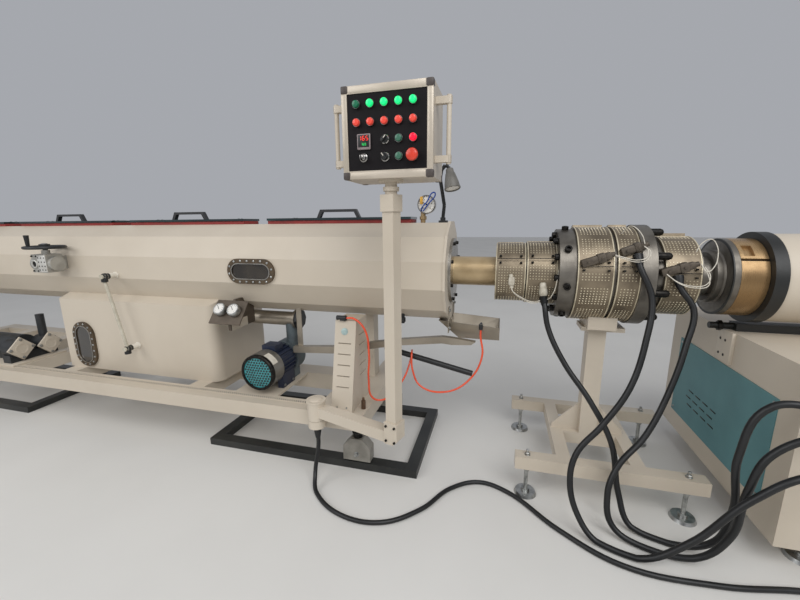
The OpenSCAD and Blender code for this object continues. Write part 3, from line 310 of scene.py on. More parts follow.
# Lids: smoked safety glass on red silicone seals, each with a black grip
# and hinged at the back. They lift by the grip.
def block(mesh, low, high, soften=0.002, seat=None):
    """Adds a bar between two corners with softened edges."""
    size = Vector(high) - Vector(low)
    middle = (Vector(high) + Vector(low)) / 2.0
    part = bmesh.new()
    bmesh.ops.create_cube(part, size=1.0, matrix=Matrix.Translation(middle) @ Matrix.Diagonal((*size, 1.0)))
    bmesh.ops.bevel(part, geom=part.edges[:], offset=soften, segments=2, profile=0.5, affect="EDGES",
        material=-1)
    if seat:
        bmesh.ops.transform(part, matrix=seat, verts=part.verts)
    join(mesh, part)


glass_lid = surface("smoked safety glass", "182526", "22393a", (0.05, 0.12), patch_mm=300.0, grain_mm=30.0,
    relief_mm=0.02, coat=0.6)
lid_tree = glass_lid.node_tree
lid_place = add(lid_tree, "TexCoord").outputs["Object"]
lid_height = add(lid_tree, "SeparateXYZ", {"Vector": lid_place}).outputs["Z"]
on_grip = add(lid_tree, "Math", {0: lid_height, 1: 1.2776}, operation="GREATER_THAN").outputs[0]
lid_shader = lid_tree.nodes["Principled BSDF"]
glass_colour = lid_shader.inputs["Base Color"].links[0].from_socket
grip_colour = add(lid_tree, "Mix", {0: on_grip, 6: glass_colour, 7: linear("1b1b1c")}, data_type="RGBA")
lid_tree.links.new(grip_colour.outputs[2], lid_shader.inputs["Base Color"])
glass_gloss = lid_shader.inputs["Roughness"].links[0].from_socket
grip_gloss = add(lid_tree, "Mix", {0: on_grip, 2: glass_gloss, 3: 0.5})
lid_tree.links.new(grip_gloss.outputs[0], lid_shader.inputs["Roughness"])
dress(glass_lid, "lid_1", "lid_2", "lid_3", "lid_4")
# Moulded silicone: brick red, soft and dull
silicone = surface("silicone seal", "8f2d28", "7a2723", (0.55, 0.68), patch_mm=80.0, grain_mm=2.0)
dress(silicone, "lid_seals")
LID_MID = (-0.85, -1.82, -2.79, -3.76)
LID_TOP = 1.2773
SEAL_HALF, SEAL_LOW, SEAL_HIGH = 0.4085, 1.2472, 1.265
skirts = bmesh.new()
for middle in LID_MID:
    for y in (-0.0662, 0.0622):
        block(skirts, (middle - SEAL_HALF, y, SEAL_LOW), (middle + SEAL_HALF, y + 0.004, SEAL_HIGH), 0.001)
    for x in (middle - SEAL_HALF, middle + SEAL_HALF - 0.004):
        block(skirts, (x, -0.066, SEAL_LOW), (x + 0.004, 0.066, SEAL_HIGH), 0.001)
show("seal_skirts", skirts, silicone)
for number, middle in enumerate(LID_MID, 1):
    screws = bmesh.new()
    for side in (-1, 1):
        for y in (0.03, 0.06):
            solid(screws, (middle + side * 0.3, y, LID_TOP), UP,
                ((0.0, 0.008), (0.002, 0.008), (0.004, 0.005)), 16)
    show(f"lid_{number}_screws", screws, zinc, body=f"lid_{number}")

# Sight windows: oval rings of brown-tinted steel, screwed on over thick panes.
# Two look into the tank and a tall one into the water box.
brushed = surface("brushed window steel", "655746", "4a4034", (0.36, 0.52), metallic=0.6, patch_mm=60.0,
    grain_mm=1.6, relief_mm=0.05, stretch=(0.1, 1.0, 1.0))
dress(brushed, "sight_windows")
pane_glass = surface("toughened pane", "2b2723", "3d372f", (0.03, 0.08), patch_mm=90.0, grain_mm=20.0,
    relief_mm=0.01, coat=0.8)


def slot_points(length, height, count):
    """Places evenly spaced round a slot's outline."""
    radius = height / 2.0
    flat = length - height
    turn_from = (flat, flat + math.pi * radius, 2.0 * flat + math.pi * radius)
    around = 2.0 * flat + math.tau * radius
    places = []
    for k in range(count):
        run = (k + 0.5) / count * around
        if run < turn_from[0]:
            places.append((run - flat / 2.0, radius))
        elif run < turn_from[1]:
            angle = (run - turn_from[0]) / radius
            places.append((flat / 2.0 + radius * math.sin(angle), radius * math.cos(angle)))
        elif run < turn_from[2]:
            places.append((flat / 2.0 - (run - turn_from[1]), -radius))
        else:
            angle = (run - turn_from[2]) / radius
            places.append((-flat / 2.0 - radius * math.sin(angle), -radius * math.cos(angle)))
    return places


def slot_plate(mesh, length, height, low, high, seat, wall=0.0):
    """Adds a plate in a slot's form between two heights, or a ring with that wall."""
    part = bmesh.new()
    outline = [part.verts.new((x, y, low)) for x, y in slot_points(length, height, 64)]
    face = part.faces.new(outline)
    bmesh.ops.extrude_face_region(part, geom=[face])
    lifted = [vert for vert in part.verts if vert not in outline]
    bmesh.ops.translate(part, verts=lifted, vec=(0.0, 0.0, high - low))
    if wall:
        caps = [cap for cap in part.faces if len(cap.verts) > 4]
        bmesh.ops.inset_individual(part, faces=caps, thickness=wall)
        caps = [cap for cap in part.faces if len(cap.verts) > 4]
        bmesh.ops.bridge_loops(part, edges=[edge for cap in caps for edge in cap.edges])
        bmesh.ops.delete(part, geom=[cap for cap in part.faces if len(cap.verts) > 4], context="FACES_ONLY")
    bmesh.ops.transform(part, matrix=seat, verts=part.verts)
    join(mesh, part)


def rotation(degrees, axis):
    """A turn round one axis."""
    return Matrix.Rotation(math.radians(degrees), 4, axis)


LOOK_OUT = rotation(90.0, "X")
UPRIGHT = rotation(90.0, "Z")
WINDOWS = (
    ("front_window", Matrix.Translation((-1.26, -0.242, LINE_Z)) @ LOOK_OUT, 0.28, 0.132, 16),
    ("rear_window", Matrix.Translation((-3.9, -0.242, LINE_Z)) @ LOOK_OUT, 0.28, 0.132, 16),
    ("box_window", Matrix.Translation((-2.525, -0.245, 0.51)) @ LOOK_OUT @ UPRIGHT,
     0.29, 0.17, 18),
)
for name, seat, length, height, count in WINDOWS:
    pane = bmesh.new()
    slot_plate(pane, length - 0.058, height - 0.058, 0.0025, 0.0095, seat)
    show(name + "_pane", pane, pane_glass)
    rim = bmesh.new()
    slot_plate(rim, length - 0.046, height - 0.046, 0.0135, 0.0165, seat, wall=0.005)
    show(name + "_rim", rim, turned_steel)
    screws = bmesh.new()
    for x, y in slot_points(length - 0.022, height - 0.022, count):
        solid(screws, seat @ Vector((x, y, 0.0138)), OUT, ((0.0, 0.0062), (0.003, 0.0055), (0.005, 0.003)),
            14)
    show(name + "_screws", screws, zinc)


# Level gauge: a clear hose between two black elbows, which screw into white
# moulded ports on the tank and the water box.
clear_hose = surface("clear vinyl hose", "b5ae9c", "cdc7b6", (0.12, 0.22), patch_mm=40.0, grain_mm=6.0,
    relief_mm=0.01, coat=0.5)
dress(clear_hose, "level_gauge")
black_nylon = surface("moulded black nylon", "191a1b", "242526", (0.38, 0.5), patch_mm=50.0, grain_mm=1.5,
    relief_mm=0.04)
white_nylon = surface("moulded white nylon", "e2dccf", "c9c2b4", (0.35, 0.48), patch_mm=40.0, grain_mm=2.0)
elbows = bmesh.new()
caps = bmesh.new()
for x, wall, z in ((-2.19, 0.242, 0.96), (-2.1, 0.245, 0.535)):
    rod(caps, (x, -wall - 0.05, z), (x, -wall, z), 0.0155)
    solid(caps, (x, -wall - 0.0005, z), OUT, ((0.0, 0.021), (0.006, 0.021), (0.008, 0.018)), 6)
    rod(elbows, (x, -wall - 0.0605, z), (x, -wall - 0.046, z), 0.0172)
    turned(elbows, (x, -wall - 0.0785, z), (0, 1, 0),
        ((0.0, 0.0), (0.0, 0.018), (0.002, 0.0195), (0.017, 0.0195), (0.0185, 0.0)), 8)
    rod(elbows, (x, -wall - 0.072, z - 0.031), (x, -wall - 0.072, z - 0.004), 0.0172)
    turned(elbows, (x, -wall - 0.0775, z), OUT,
        ((0.0, 0.0), (0.0, 0.014), (0.006, 0.0135), (0.009, 0.01), (0.01, 0.0)), 24)
show("level_elbows", elbows, black_nylon)
show("level_caps", caps, white_nylon)

# Height crank: a sand-cast aluminium bevel gearbox, bolted to the tank's side,
# with a milled cover plate and a black moulded handwheel on its upright shaft.
cast_aluminium = surface("sand-cast aluminium", "b4b2ab", "94918a", (0.42, 0.6), metallic=0.65,
    patch_mm=70.0, grain_mm=2.2, relief_mm=0.25)
dress(cast_aluminium, "crank_gearbox")
dress(black_nylon, "handwheel", "drain_pipe")
gearbox_bolts = bmesh.new()
for x in (-2.648, -2.611):
    for z in (0.989, 1.075):
        cap_screw(gearbox_bolts, (x, -0.367, z), OUT, 0.009)
show("crank_screws", gearbox_bolts, black_oxide)
COVER_HUB = (-2.629, -0.3665, 1.03)
cover, cover_hole_shade = bmesh.new(), bmesh.new()
block(cover, (-2.606, -0.3705, 0.984), (-2.5405, -0.3655, 1.081), 0.0015)
turned(cover, COVER_HUB, OUT,
    ((0.0, 0.02), (0.0, 0.0235), (0.007, 0.0235), (0.009, 0.021), (0.009, 0.018), (0.004, 0.0165),
    (0.0, 0.02)), 32)
# The hub bore and the cover's holes are black discs: painted shade in the holes.
solid(cover_hole_shade, COVER_HUB, OUT, ((0.0, 0.0172), (0.0035, 0.0172)), 32)
for x in (-2.596, -2.573, -2.55):
    for z in (0.996, 1.018, 1.042, 1.066):
        solid(cover_hole_shade, (x, -0.3704, z), OUT, ((0.0, 0.0042), (0.001, 0.0038)), 12)
silver_plate = surface("milled aluminium cover", "d6d4ce", "bcb9b2", (0.3, 0.44), metallic=0.4,
    patch_mm=30.0, grain_mm=1.2, relief_mm=0.05)
show("crank_cover", cover, silver_plate)
show("crank_cover_hole_shade", cover_hole_shade, black_oxide)
wheel_cap = bmesh.new()
solid(wheel_cap, (-2.6, -0.322, 1.143), UP, ((0.0, 0.016), (0.003, 0.016), (0.005, 0.012)), 24)
show("handwheel_cap", wheel_cap, zinc, body="handwheel")

# Valve plate: bent stainless sheet under the tank with two dial valves, whose
# faces are white enamel with a fine black scale.
stainless = surface("brushed stainless sheet", "a49b8d", "8d8476", (0.32, 0.46), metallic=0.7,
    patch_mm=180.0, grain_mm=1.8, relief_mm=0.04, stretch=(0.08, 1.0, 1.0))
dress(stainless, "catch_tray", "drain_channel", "hopper")
brown_sheet = surface("heat-tinted stainless sheet", "61564a", "4f463c", (0.35, 0.5), metallic=0.5,
    patch_mm=70.0, grain_mm=1.8, relief_mm=0.04, stretch=(0.08, 1.0, 1.0))
dress(brown_sheet, "valve_plate")
dial_white = surface("white enamel dial", "e6e3dc", "dcd8d0", (0.25, 0.35), patch_mm=40.0)
dial_black = surface("dial printing black", "141414", "1c1c1c", (0.4, 0.5), patch_mm=20.0)
valve_bodies, valve_faces, valve_marks = bmesh.new(), bmesh.new(), bmesh.new()
VALVE_SEAT = Matrix.Translation((-1.38, -0.3, 0.79)) @ rotation(50.0, "X")
VALVE_UP = VALVE_SEAT.to_3x3() @ Vector(UP)
for side in (-0.042, 0.042):
    foot = VALVE_SEAT @ Vector((side, 0.005, 0.003))
    solid(valve_bodies, foot, VALVE_UP, ((0.0, 0.03), (0.004, 0.034), (0.026, 0.034), (0.031, 0.031),
        (0.031, 0.028), (0.029, 0.027)), 36)
    solid(valve_faces, foot + VALVE_UP * 0.029, VALVE_UP, ((0.0, 0.0265), (0.0012, 0.0265)), 36)
    for k in range(10):
        mark = VALVE_SEAT @ Matrix.Translation((side, 0.005, 0.0332)) @ rotation(-135.0 + 30.0 * k, "Z")
        block(valve_marks, (-0.0006, 0.019, 0.0), (0.0006, 0.024, 0.0008), 0.0002, mark)
    needle = VALVE_SEAT @ Matrix.Translation((side, 0.005, 0.0336)) @ rotation(38.0, "Z")
    block(valve_marks, (-0.0012, -0.006, 0.0), (0.0012, 0.02, 0.0012), 0.0003, needle)
show("valve_dial_bodies", valve_bodies, zinc)
show("valve_dial_faces", valve_faces, dial_white)
show("valve_dial_marks", valve_marks, dial_black)
web = bmesh.new()
block(web, (-1.3895, -0.298, 0.6885), (-1.3705, -0.165, 0.74), 0.003)
show("valve_web", web, paint)

# Water pump and its motor: blue ribbed housing, teal fan cover of pierced
# sheet in a silver band with a bare rating plate, and a stainless suction pipe.
motor_blue = surface("blue enamel", "232c42", "1a2133", (0.35, 0.5), patch_mm=90.0, grain_mm=2.0)
dress(motor_blue, "pump_motor")
grey_iron = surface("grey enamelled cast iron", "5a6468", "474f52", (0.45, 0.62), patch_mm=60.0,
    grain_mm=2.5, relief_mm=0.2)
dress(grey_iron, "water_pump", "feed_throat")
silver_paint = surface("silver enamel", "8f8c86", "79766f", (0.28, 0.42), metallic=0.6, patch_mm=60.0,
    grain_mm=1.5)
teal_sheet = surface("teal enamelled grille", "47979a", "2f7679", (0.35, 0.48), patch_mm=20.0)
MOTOR_X, MOTOR_Z = -1.216, 0.475
cowl = bmesh.new()
turned(cowl, (MOTOR_X, -0.312, MOTOR_Z), (0, 1, 0),
    ((0.0, 0.0925), (0.0, 0.0985), (0.084, 0.0985), (0.084, 0.0925), (0.0, 0.0925)), 64)
show("fan_cowl_band", cowl, silver_paint)
grille_rim = bmesh.new()
turned(grille_rim, (MOTOR_X, -0.332, MOTOR_Z), (0, 1, 0),
    ((0.0, 0.083), (0.0, 0.095), (0.003, 0.098), (0.02, 0.098), (0.02, 0.0965), (0.006, 0.083),
    (0.0, 0.083)), 64)
show("fan_cowl_rim", grille_rim, black_oxide)
grille = bmesh.new()
turned(grille, (MOTOR_X, -0.3225, MOTOR_Z), OUT,
    ((0.0, 0.0), (0.0, 0.0855), (0.002, 0.0855), (0.006, 0.04), (0.007, 0.0)), 48)
show("fan_grille", grille, teal_sheet)
# Black hexagons on the grille stand for its holes: painted shade, the dark seen through the pierced sheet.
hole_shade = bmesh.new()
HOLE_PITCH = 0.016
for row in range(-6, 7):
    for column in range(-6, 7):
        x = (column + 0.5 * (row % 2)) * HOLE_PITCH
        z = row * HOLE_PITCH * 0.866
        out = math.hypot(x, z)
        if out < 0.08:
            depth = 0.3245 + (0.0855 - out) / 0.0455 * 0.004 if out > 0.04 else 0.3288
            bmesh.ops.create_cone(hole_shade, cap_ends=True, segments=6, radius1=0.006, radius2=0.0058,
                depth=0.003, matrix=Matrix.Translation((MOTOR_X + x, -depth, MOTOR_Z + z)) @ LOOK_OUT)
show("fan_grille_hole_shade", hole_shade, black_nylon)
plate = bmesh.new()
corners = [(0.0986, -0.31), (0.1, -0.31), (0.1, -0.268), (0.0986, -0.268)]
outline = [plate.verts.new((MOTOR_X + radius, y, MOTOR_Z)) for radius, y in corners]
section = plate.faces.new(outline)
bmesh.ops.rotate(plate, verts=outline, cent=(MOTOR_X, 0.0, MOTOR_Z),
    matrix=Matrix.Rotation(math.radians(-28.0), 3, "Y"))
bmesh.ops.spin(plate, geom=[section], cent=(MOTOR_X, 0.0, MOTOR_Z), axis=OUT, angle=math.radians(42.0),
    steps=10)
show("motor_rating_plate", plate, white_nylon)
feet_bolts = bmesh.new()
for x in (-0.079, -0.045, 0.045, 0.079):
    for y in (-0.205, -0.12):
        hex_bolt(feet_bolts, (MOTOR_X + x, y, 0.36), UP, 0.013)
show("motor_foot_bolts", feet_bolts, zinc)
PIPE_AT = (-0.03, 0.7)
pipe = bmesh.new()
rod(pipe, (-1.541, *PIPE_AT), (-1.1195, *PIPE_AT), 0.0405, 40)
solid(pipe, (-1.5405, *PIPE_AT), ALONG, ((0.0, 0.0625), (0.0145, 0.0625)), 40)
solid(pipe, (-1.146, *PIPE_AT), ALONG, ((0.0, 0.054), (0.013, 0.054)), 40)
show("suction_pipe_cover", pipe, stainless)
valve = bmesh.new()
solid(valve, (-1.1325, *PIPE_AT), ALONG,
    ((0.0, 0.056), (0.004, 0.058), (0.02, 0.058), (0.024, 0.054)), 8)
rod(valve, (-1.12, -0.03, 0.755), (-1.12, -0.03, 0.79), 0.014)
block(valve, (-1.132, -0.1, 0.786), (-1.108, -0.014, 0.798), 0.003)
show("suction_valve", valve, black_nylon)

# Vacuum pump: black iron body with two square white flanges, stood on their
# corners, on a painted plate.
black_iron = surface("black enamelled cast iron", "212325", "313335", (0.4, 0.58), patch_mm=60.0,
    grain_mm=2.5, relief_mm=0.15)
dress(black_iron, "vacuum_pump")
flanges, flange_bolts = bmesh.new(), bmesh.new()
PORT_X = -3.06
for y, z in ((-0.29, 0.451), (-0.125, 0.437)):
    seat = Matrix.Translation((PORT_X, y, z)) @ rotation(45.0, "X")
    block(flanges, (-0.0005, -0.056, -0.056), (0.0146, 0.056, 0.056), 0.003, seat)
    solid(flanges, seat @ Vector((0.014, 0.0, 0.0)), ALONG,
        ((0.0, 0.038), (0.004, 0.037), (0.004, 0.028), (0.001, 0.026)), 32)
    for corner in ((-1, -1), (-1, 1), (1, -1), (1, 1)):
        hex_bolt(flange_bolts, seat @ Vector((0.0145, 0.043 * corner[0], 0.043 * corner[1])), ALONG, 0.013)
show("pump_port_flanges", flanges, paint)
show("pump_port_bolts", flange_bolts, zinc)
pump_plate = bmesh.new()
block(pump_plate, (-3.4505, -0.3655, 0.3475), (-3.0295, -0.0495, 0.3605), 0.001)
show("vacuum_pump_plate", pump_plate, paint)

# Tank frame: welded beams. A toothed rack is screwed along the near beam, and
# each wheel block carries a black screw jack.
rack = bmesh.new()
block(rack, (-4.36, -0.356, 0.3478), (-0.9, -0.338, 0.352), 0.001)
TEETH, TOOTH_PITCH, RACK_Y = 276, 0.0125, -0.347
for k in range(TEETH):
    x = -4.352 + k * TOOTH_PITCH
    bmesh.ops.create_cone(rack, cap_ends=True, segments=4, radius1=0.0058, radius2=0.003, depth=0.004,
        matrix=Matrix.Translation((x, RACK_Y, 0.3538)) @ rotation(45.0, "Z"))
show("travel_rack", rack, paint)
# Black marks between the teeth: painted shade in the gaps of the rack.
notch_shade = bmesh.new()
for k in range(TEETH):
    notch = Matrix.Translation((-4.358 + k * TOOTH_PITCH, RACK_Y, 0.3516)) @ rotation(28.0, "Z")
    bmesh.ops.create_cone(notch_shade, cap_ends=True, segments=4, radius1=0.004, radius2=0.0038, depth=0.003,
        matrix=notch @ Matrix.Diagonal((0.85, 2.8, 1.0, 1.0)))
show("rack_notch_shade", notch_shade, black_oxide)
grey_steel = surface("grey enamelled steel", "8f8b82", "716d65", (0.4, 0.55), patch_mm=70.0, grain_mm=2.0)
dress(grey_steel, "wheel_blocks")
black_steel = surface("black enamelled steel", "1d1e1d", "2d2e2b", (0.32, 0.55), patch_mm=160.0,
    grain_mm=2.0)
dress(black_steel, "track_frame", "slide_rail", "barrel_clamps")


def nut(mesh, place, radius, height, cut, direction=UP):
    """Adds a hexagon nut with its corners cut back at both ends."""
    solid(mesh, place, direction, ((0.0, radius - cut), (0.002, radius), (height - 0.002, radius),
        (height, radius - cut)), 6)


jacks, axle_nuts = bmesh.new(), bmesh.new()
for x in (-0.67, -3.964):
    for side in (-1, 1):
        y = side * 0.297
        rod(jacks, (x, y, 0.1685), (x, y, 0.2675), 0.0245)
        nut(jacks, (x, y, 0.1985), 0.0347, 0.02, 0.0012)
        for face in (-1, 1):
            hex_bolt(axle_nuts, (x, y + face * 0.0298, 0.085), (0, face, 0), 0.019)
show("jack_screws", jacks, black_oxide)
show("wheel_axle_nuts", axle_nuts, zinc)

# Vent cabinet: folded sheet with punched slots and a black push-in fitting for
# the air hose. A steel peg stands on the near beam beside it.
fitting = bmesh.new()
block(fitting, (-0.7395, -0.3125, 0.7848), (-0.7105, -0.2915, 0.7975), 0.002)
rod(fitting, (-0.7565, -0.304, 0.799), (-0.7075, -0.304, 0.799), 0.0115)
solid(fitting, (-0.7145, -0.304, 0.799), ALONG, ((0.0, 0.0135), (0.006, 0.0135), (0.009, 0.01)), 20)
show("cabinet_fitting", fitting, black_nylon)
CABINET_OUT = (0, -0.977, 0.213)
cabinet_screws = bmesh.new()
block(cabinet_screws, (-0.7645, -0.3905, 0.356), (-0.762, -0.389, 0.37), 0.0003)
for k in range(2):
    turned(cabinet_screws, (-0.7365 + 0.049 * k, -0.3885, 0.372), CABINET_OUT,
        ((0.0, 0.0), (0.0, 0.005), (0.002, 0.0045), (0.003, 0.0)), 14)
show("cabinet_screws", cabinet_screws, zinc)
disc = bmesh.new()
solid(disc, (-0.7155, -0.3118, 0.733), CABINET_OUT, ((0.0, 0.0175), (0.0012, 0.0172), (0.0016, 0.0155)),
    36)
pale_foil = surface("bare embossed foil", "a9bdb9", "93a8a5", (0.3, 0.42), metallic=0.3, patch_mm=12.0)
show("cabinet_disc", disc, pale_foil)
rust_steel = surface("bare steel, browned", "6b5340", "4d3b2e", (0.5, 0.7), metallic=0.5, patch_mm=12.0,
    grain_mm=1.2, relief_mm=0.1)
peg = bmesh.new()
rod(peg, (-0.622, -0.33, 0.3475), (-0.622, -0.33, 0.392), 0.011)
rod(peg, (-0.622, -0.33, 0.391), (-0.622, -0.33, 0.406), 0.006)
show("deck_peg", peg, rust_steel)

# Control arm: a welded knuckle and arm of square tube, powder coated. A black
# nylon gland takes the cable under it, and cap screws hold the elbow's casting.
gland = bmesh.new()
solid(gland, (-0.812, -0.456, 0.2835), UP, ((0.0, 0.0155), (0.004, 0.0175), (0.013, 0.0175),
    (0.017, 0.0155)), 8)
show("knuckle_gland", gland, black_nylon)
knuckle_cap = bmesh.new()
turned(knuckle_cap, (-0.812, -0.456, 0.4355), UP,
    ((0.0, 0.0), (0.0, 0.03), (0.004, 0.028), (0.007, 0.02), (0.008, 0.0)), 32)
show("knuckle_cap", knuckle_cap, paint, body="control_arm")
POLE = (-0.3912, -0.5846)
ARM_TURN = rotation(-17.0, "Z")
elbow_screws = bmesh.new()
for x, z in ((-0.02, 0.376), (0.02, 0.376), (-0.02, 0.44), (0.02, 0.44)):
    place = Matrix.Translation((*POLE, 0.0)) @ ARM_TURN @ Vector((x, -0.031, z))
    cap_screw(elbow_screws, place, ARM_TURN.to_3x3() @ Vector(OUT), 0.01)
show("elbow_screws", elbow_screws, black_oxide, body="control_arm")

# Operating panel: a box of aluminium profile with dark corner pieces, round a
# black front plate with lit push buttons, selector, key switch and meter.
profile_metal = surface("anodised aluminium profile", "c4b9a9", "b3a999", (0.3, 0.42), metallic=0.25,
    patch_mm=200.0, grain_mm=1.5, relief_mm=0.02, stretch=(1.0, 1.0, 0.1))
dress(profile_metal, "panel_box")
face_paint = surface("black anodised front plate", "0c080a", "120d10", (0.5, 0.6), patch_mm=80.0,
    grain_mm=1.0, relief_mm=0.02)
face_paint.node_tree.nodes["Principled BSDF"].inputs["Specular IOR Level"].default_value = 0.2
dress(face_paint, "panel_face")
corner_plastic = surface("dark brown moulded corner", "4a423e", "3d3633", (0.42, 0.55), patch_mm=30.0,
    grain_mm=1.5)
PANEL_X0, PANEL_X1 = -0.5432, -0.2272
PANEL_Z0, PANEL_Z1 = 1.398, 1.696
PANEL_FRONT, FACE_Y = -0.6526, -0.6496
corners = bmesh.new()
for x in (PANEL_X0 - 0.0015, PANEL_X1 - 0.0245):
    for z in (PANEL_Z0 - 0.0015, PANEL_Z1 - 0.0245):
        block(corners, (x, PANEL_FRONT - 0.003, z), (x + 0.026, PANEL_FRONT + 0.022, z + 0.026), 0.005)
        block(corners, (x, PANEL_FRONT + 0.176, z), (x + 0.026, PANEL_FRONT + 0.198, z + 0.026), 0.005)
show("panel_corners", corners, corner_plastic, body="control_arm")
bars = bmesh.new()
for x in (PANEL_X0 - 0.0008, PANEL_X1 - 0.0192):
    block(bars, (x, PANEL_FRONT - 0.0015, PANEL_Z0 + 0.025),
        (x + 0.02, PANEL_FRONT + 0.012, PANEL_Z1 - 0.025), 0.004)
for z in (PANEL_Z0 - 0.0008, PANEL_Z1 - 0.0242):
    block(bars, (PANEL_X0 + 0.025, PANEL_FRONT - 0.0015, z),
        (PANEL_X1 - 0.025, PANEL_FRONT + 0.012, z + 0.025), 0.004)
show("panel_bars", bars, profile_metal, body="control_arm")
grips = bmesh.new()
for x in (-0.5862, -0.1842):
    for z in (1.458, 1.642):
        solid(grips, (x, -0.5966, z - 0.013), UP,
            ((0.0, 0.009), (0.002, 0.0105), (0.024, 0.0105), (0.026, 0.009)), 24)
show("handle_collars", grips, profile_metal, body="control_arm")


def lit(name, shade, strength):
    """Translucent lens plastic with the lamp behind it switched on."""
    lens = surface(name, shade, shade, (0.15, 0.25), patch_mm=20.0, grain_mm=4.0, relief_mm=0.01)
    shader = lens.node_tree.nodes["Principled BSDF"]
    shader.inputs["Emission Color"].default_value = linear(shade)
    shader.inputs["Emission Strength"].default_value = strength
    return lens


red_plastic = surface("red moulded plastic", "d8432f", "c53a29", (0.2, 0.3), patch_mm=20.0, grain_mm=3.0,
    relief_mm=0.01)
BUTTON_X0, BUTTON_PITCH = -0.4892, 0.049
ROW_Z = (1.637, 1.58, 1.523, 1.467)
LENSES = {
    "buttons_dark_green": (lit("dark green lens", "1f6b4d", 0.05), ((0, 0),)),
    "buttons_lit_green": (lit("green lens, lit", "19d878", 0.75), ((1, 0), (2, 0), (3, 0), (4, 0))),
    "buttons_red_orange": (lit("red lens", "d8483a", 0.25), tuple((k, 1) for k in range(5))),
    "buttons_dull_green": (lit("dull green lens", "3f6b58", 0.05), ((3, 2), (3, 3))),
    "button_lit_red": (lit("red lens, lit", "f01030", 0.8), ((4, 2),)),
}
bezels = bmesh.new()
for name, (lens, places) in LENSES.items():
    caps = bmesh.new()
    for column, row in places:
        foot = (BUTTON_X0 + column * BUTTON_PITCH, FACE_Y, ROW_Z[row])
        turned(caps, foot, OUT, ((0.0, 0.0), (0.0, 0.0118), (0.013, 0.0118), (0.0165, 0.01),
            (0.0178, 0.006), (0.018, 0.0)), 32)
        turned(bezels, foot, OUT, ((-0.001, 0.0), (-0.001, 0.0148), (0.005, 0.0148), (0.0075, 0.0135),
            (0.0075, 0.0121), (-0.001, 0.0121)), 32)
    show(name, caps, lens, body="control_arm")
for row in (2, 3):
    foot = (BUTTON_X0 + 2 * BUTTON_PITCH, FACE_Y, ROW_Z[row])
    solid(bezels, foot, OUT, ((-0.001, 0.0155), (0.005, 0.0155), (0.007, 0.0135)), 32)
key_at = (BUTTON_X0 + 0.45 * BUTTON_PITCH, FACE_Y, ROW_Z[3])
solid(bezels, key_at, OUT, ((-0.001, 0.0145), (0.006, 0.0145), (0.009, 0.011), (0.015, 0.0095),
    (0.016, 0.008)), 32)
block(bezels, (key_at[0] - 0.0012, FACE_Y - 0.04, key_at[2] - 0.01),
    (key_at[0] + 0.0012, FACE_Y - 0.014, key_at[2] + 0.004), 0.0005)
chrome = surface("chromed brass bezel", "b5b2ae", "8f8d8a", (0.12, 0.24), metallic=1.0, patch_mm=30.0,
    grain_mm=4.0, relief_mm=0.01)
rings = show("button_bezels", bezels, chrome, body="control_arm")
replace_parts(rings, "push_buttons")
knobs, pointers = bmesh.new(), bmesh.new()
for row, lean in ((2, 40.0), (3, -35.0)):
    foot = Vector((BUTTON_X0 + 2 * BUTTON_PITCH, FACE_Y, ROW_Z[row]))
    solid(knobs, foot, OUT, ((0.0, 0.0125), (0.012, 0.012), (0.014, 0.01)), 32)
    seat = Matrix.Translation(foot) @ rotation(lean, "Y")
    block(knobs, (-0.0042, -0.0235, -0.0125), (0.0042, -0.012, 0.0125), 0.0018, seat)
    block(pointers, (-0.0012, -0.0242, 0.001), (0.0012, -0.0232, 0.0118), 0.0003, seat)
show("selector_knobs", knobs, black_nylon, body="control_arm")
show("selector_pointers", pointers, white_nylon, body="control_arm")
stop, stop_foot = bmesh.new(), bmesh.new()
stop_at = (BUTTON_X0 + 4 * BUTTON_PITCH, FACE_Y, ROW_Z[3])
turned(stop, stop_at, OUT, ((0.0, 0.0), (0.0, 0.012), (0.016, 0.012), (0.02, 0.019), (0.026, 0.0202),
    (0.031, 0.018), (0.0335, 0.011), (0.034, 0.0)), 40)
solid(stop_foot, stop_at, OUT, ((-0.001, 0.0165), (0.006, 0.0165), (0.008, 0.0145)), 32)
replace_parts(show("stop_mushroom", stop, red_plastic, body="control_arm"),
    "emergency_stop")
show("stop_foot", stop_foot, corner_plastic, body="control_arm")

# Panel meter: a moulded grey bezel round a dark screen, clipped into the front
# plate, with two rows of plain glowing digits.
meter_grey = surface("grey moulded bezel", "8d8080", "7b6f6f", (0.35, 0.48), patch_mm=30.0)
meter = bmesh.new()
block(meter, (-0.4892, FACE_Y - 0.0075, 1.493), (-0.4412, FACE_Y, 1.544), 0.003)
show("meter_bezel", meter, meter_grey, body="control_arm")
screen = bmesh.new()
block(screen, (-0.485, FACE_Y - 0.0085, 1.501), (-0.4454, FACE_Y - 0.006, 1.54), 0.0006)
show("meter_screen", screen, dial_black, body="control_arm")
SEGMENTS = {"1": "bc", "2": "abged", "6": "acdefg", "5": "afgcd", "0": "abcdef"}
STROKES = {"a": (0, 1, 1), "g": UP, "d": (0, -1, 1), "f": (-1, 0.5, 0), "b": (1, 0.5, 0),
    "e": (-1, -0.5, 0), "c": (1, -0.5, 0)}
for name, digits, size, at_z, lens in (
    ("meter_red_digits", "165", 0.0066, 1.529, lit("red meter digits", "ff3a2c", 1.0)),
    ("meter_green_digits", "160", 0.0035, 1.51, lit("green meter digits", "2fd86a", 0.8)),
):
    strokes = bmesh.new()
    for k, digit in enumerate(digits):
        middle = -0.4652 + (k - 1) * size * 1.9
        for stroke in SEGMENTS[digit]:
            side, up, level = STROKES[stroke]
            x, z = middle + side * size * 0.55, at_z + up * size
            half = (size * 0.42, size * 0.11) if level else (size * 0.11, size * 0.4)
            block(strokes, (x - half[0], FACE_Y - 0.0094, z - half[1]),
                (x + half[0], FACE_Y - 0.0082, z + half[1]), size * 0.03)
    show(name, strokes, lens, body="control_arm")

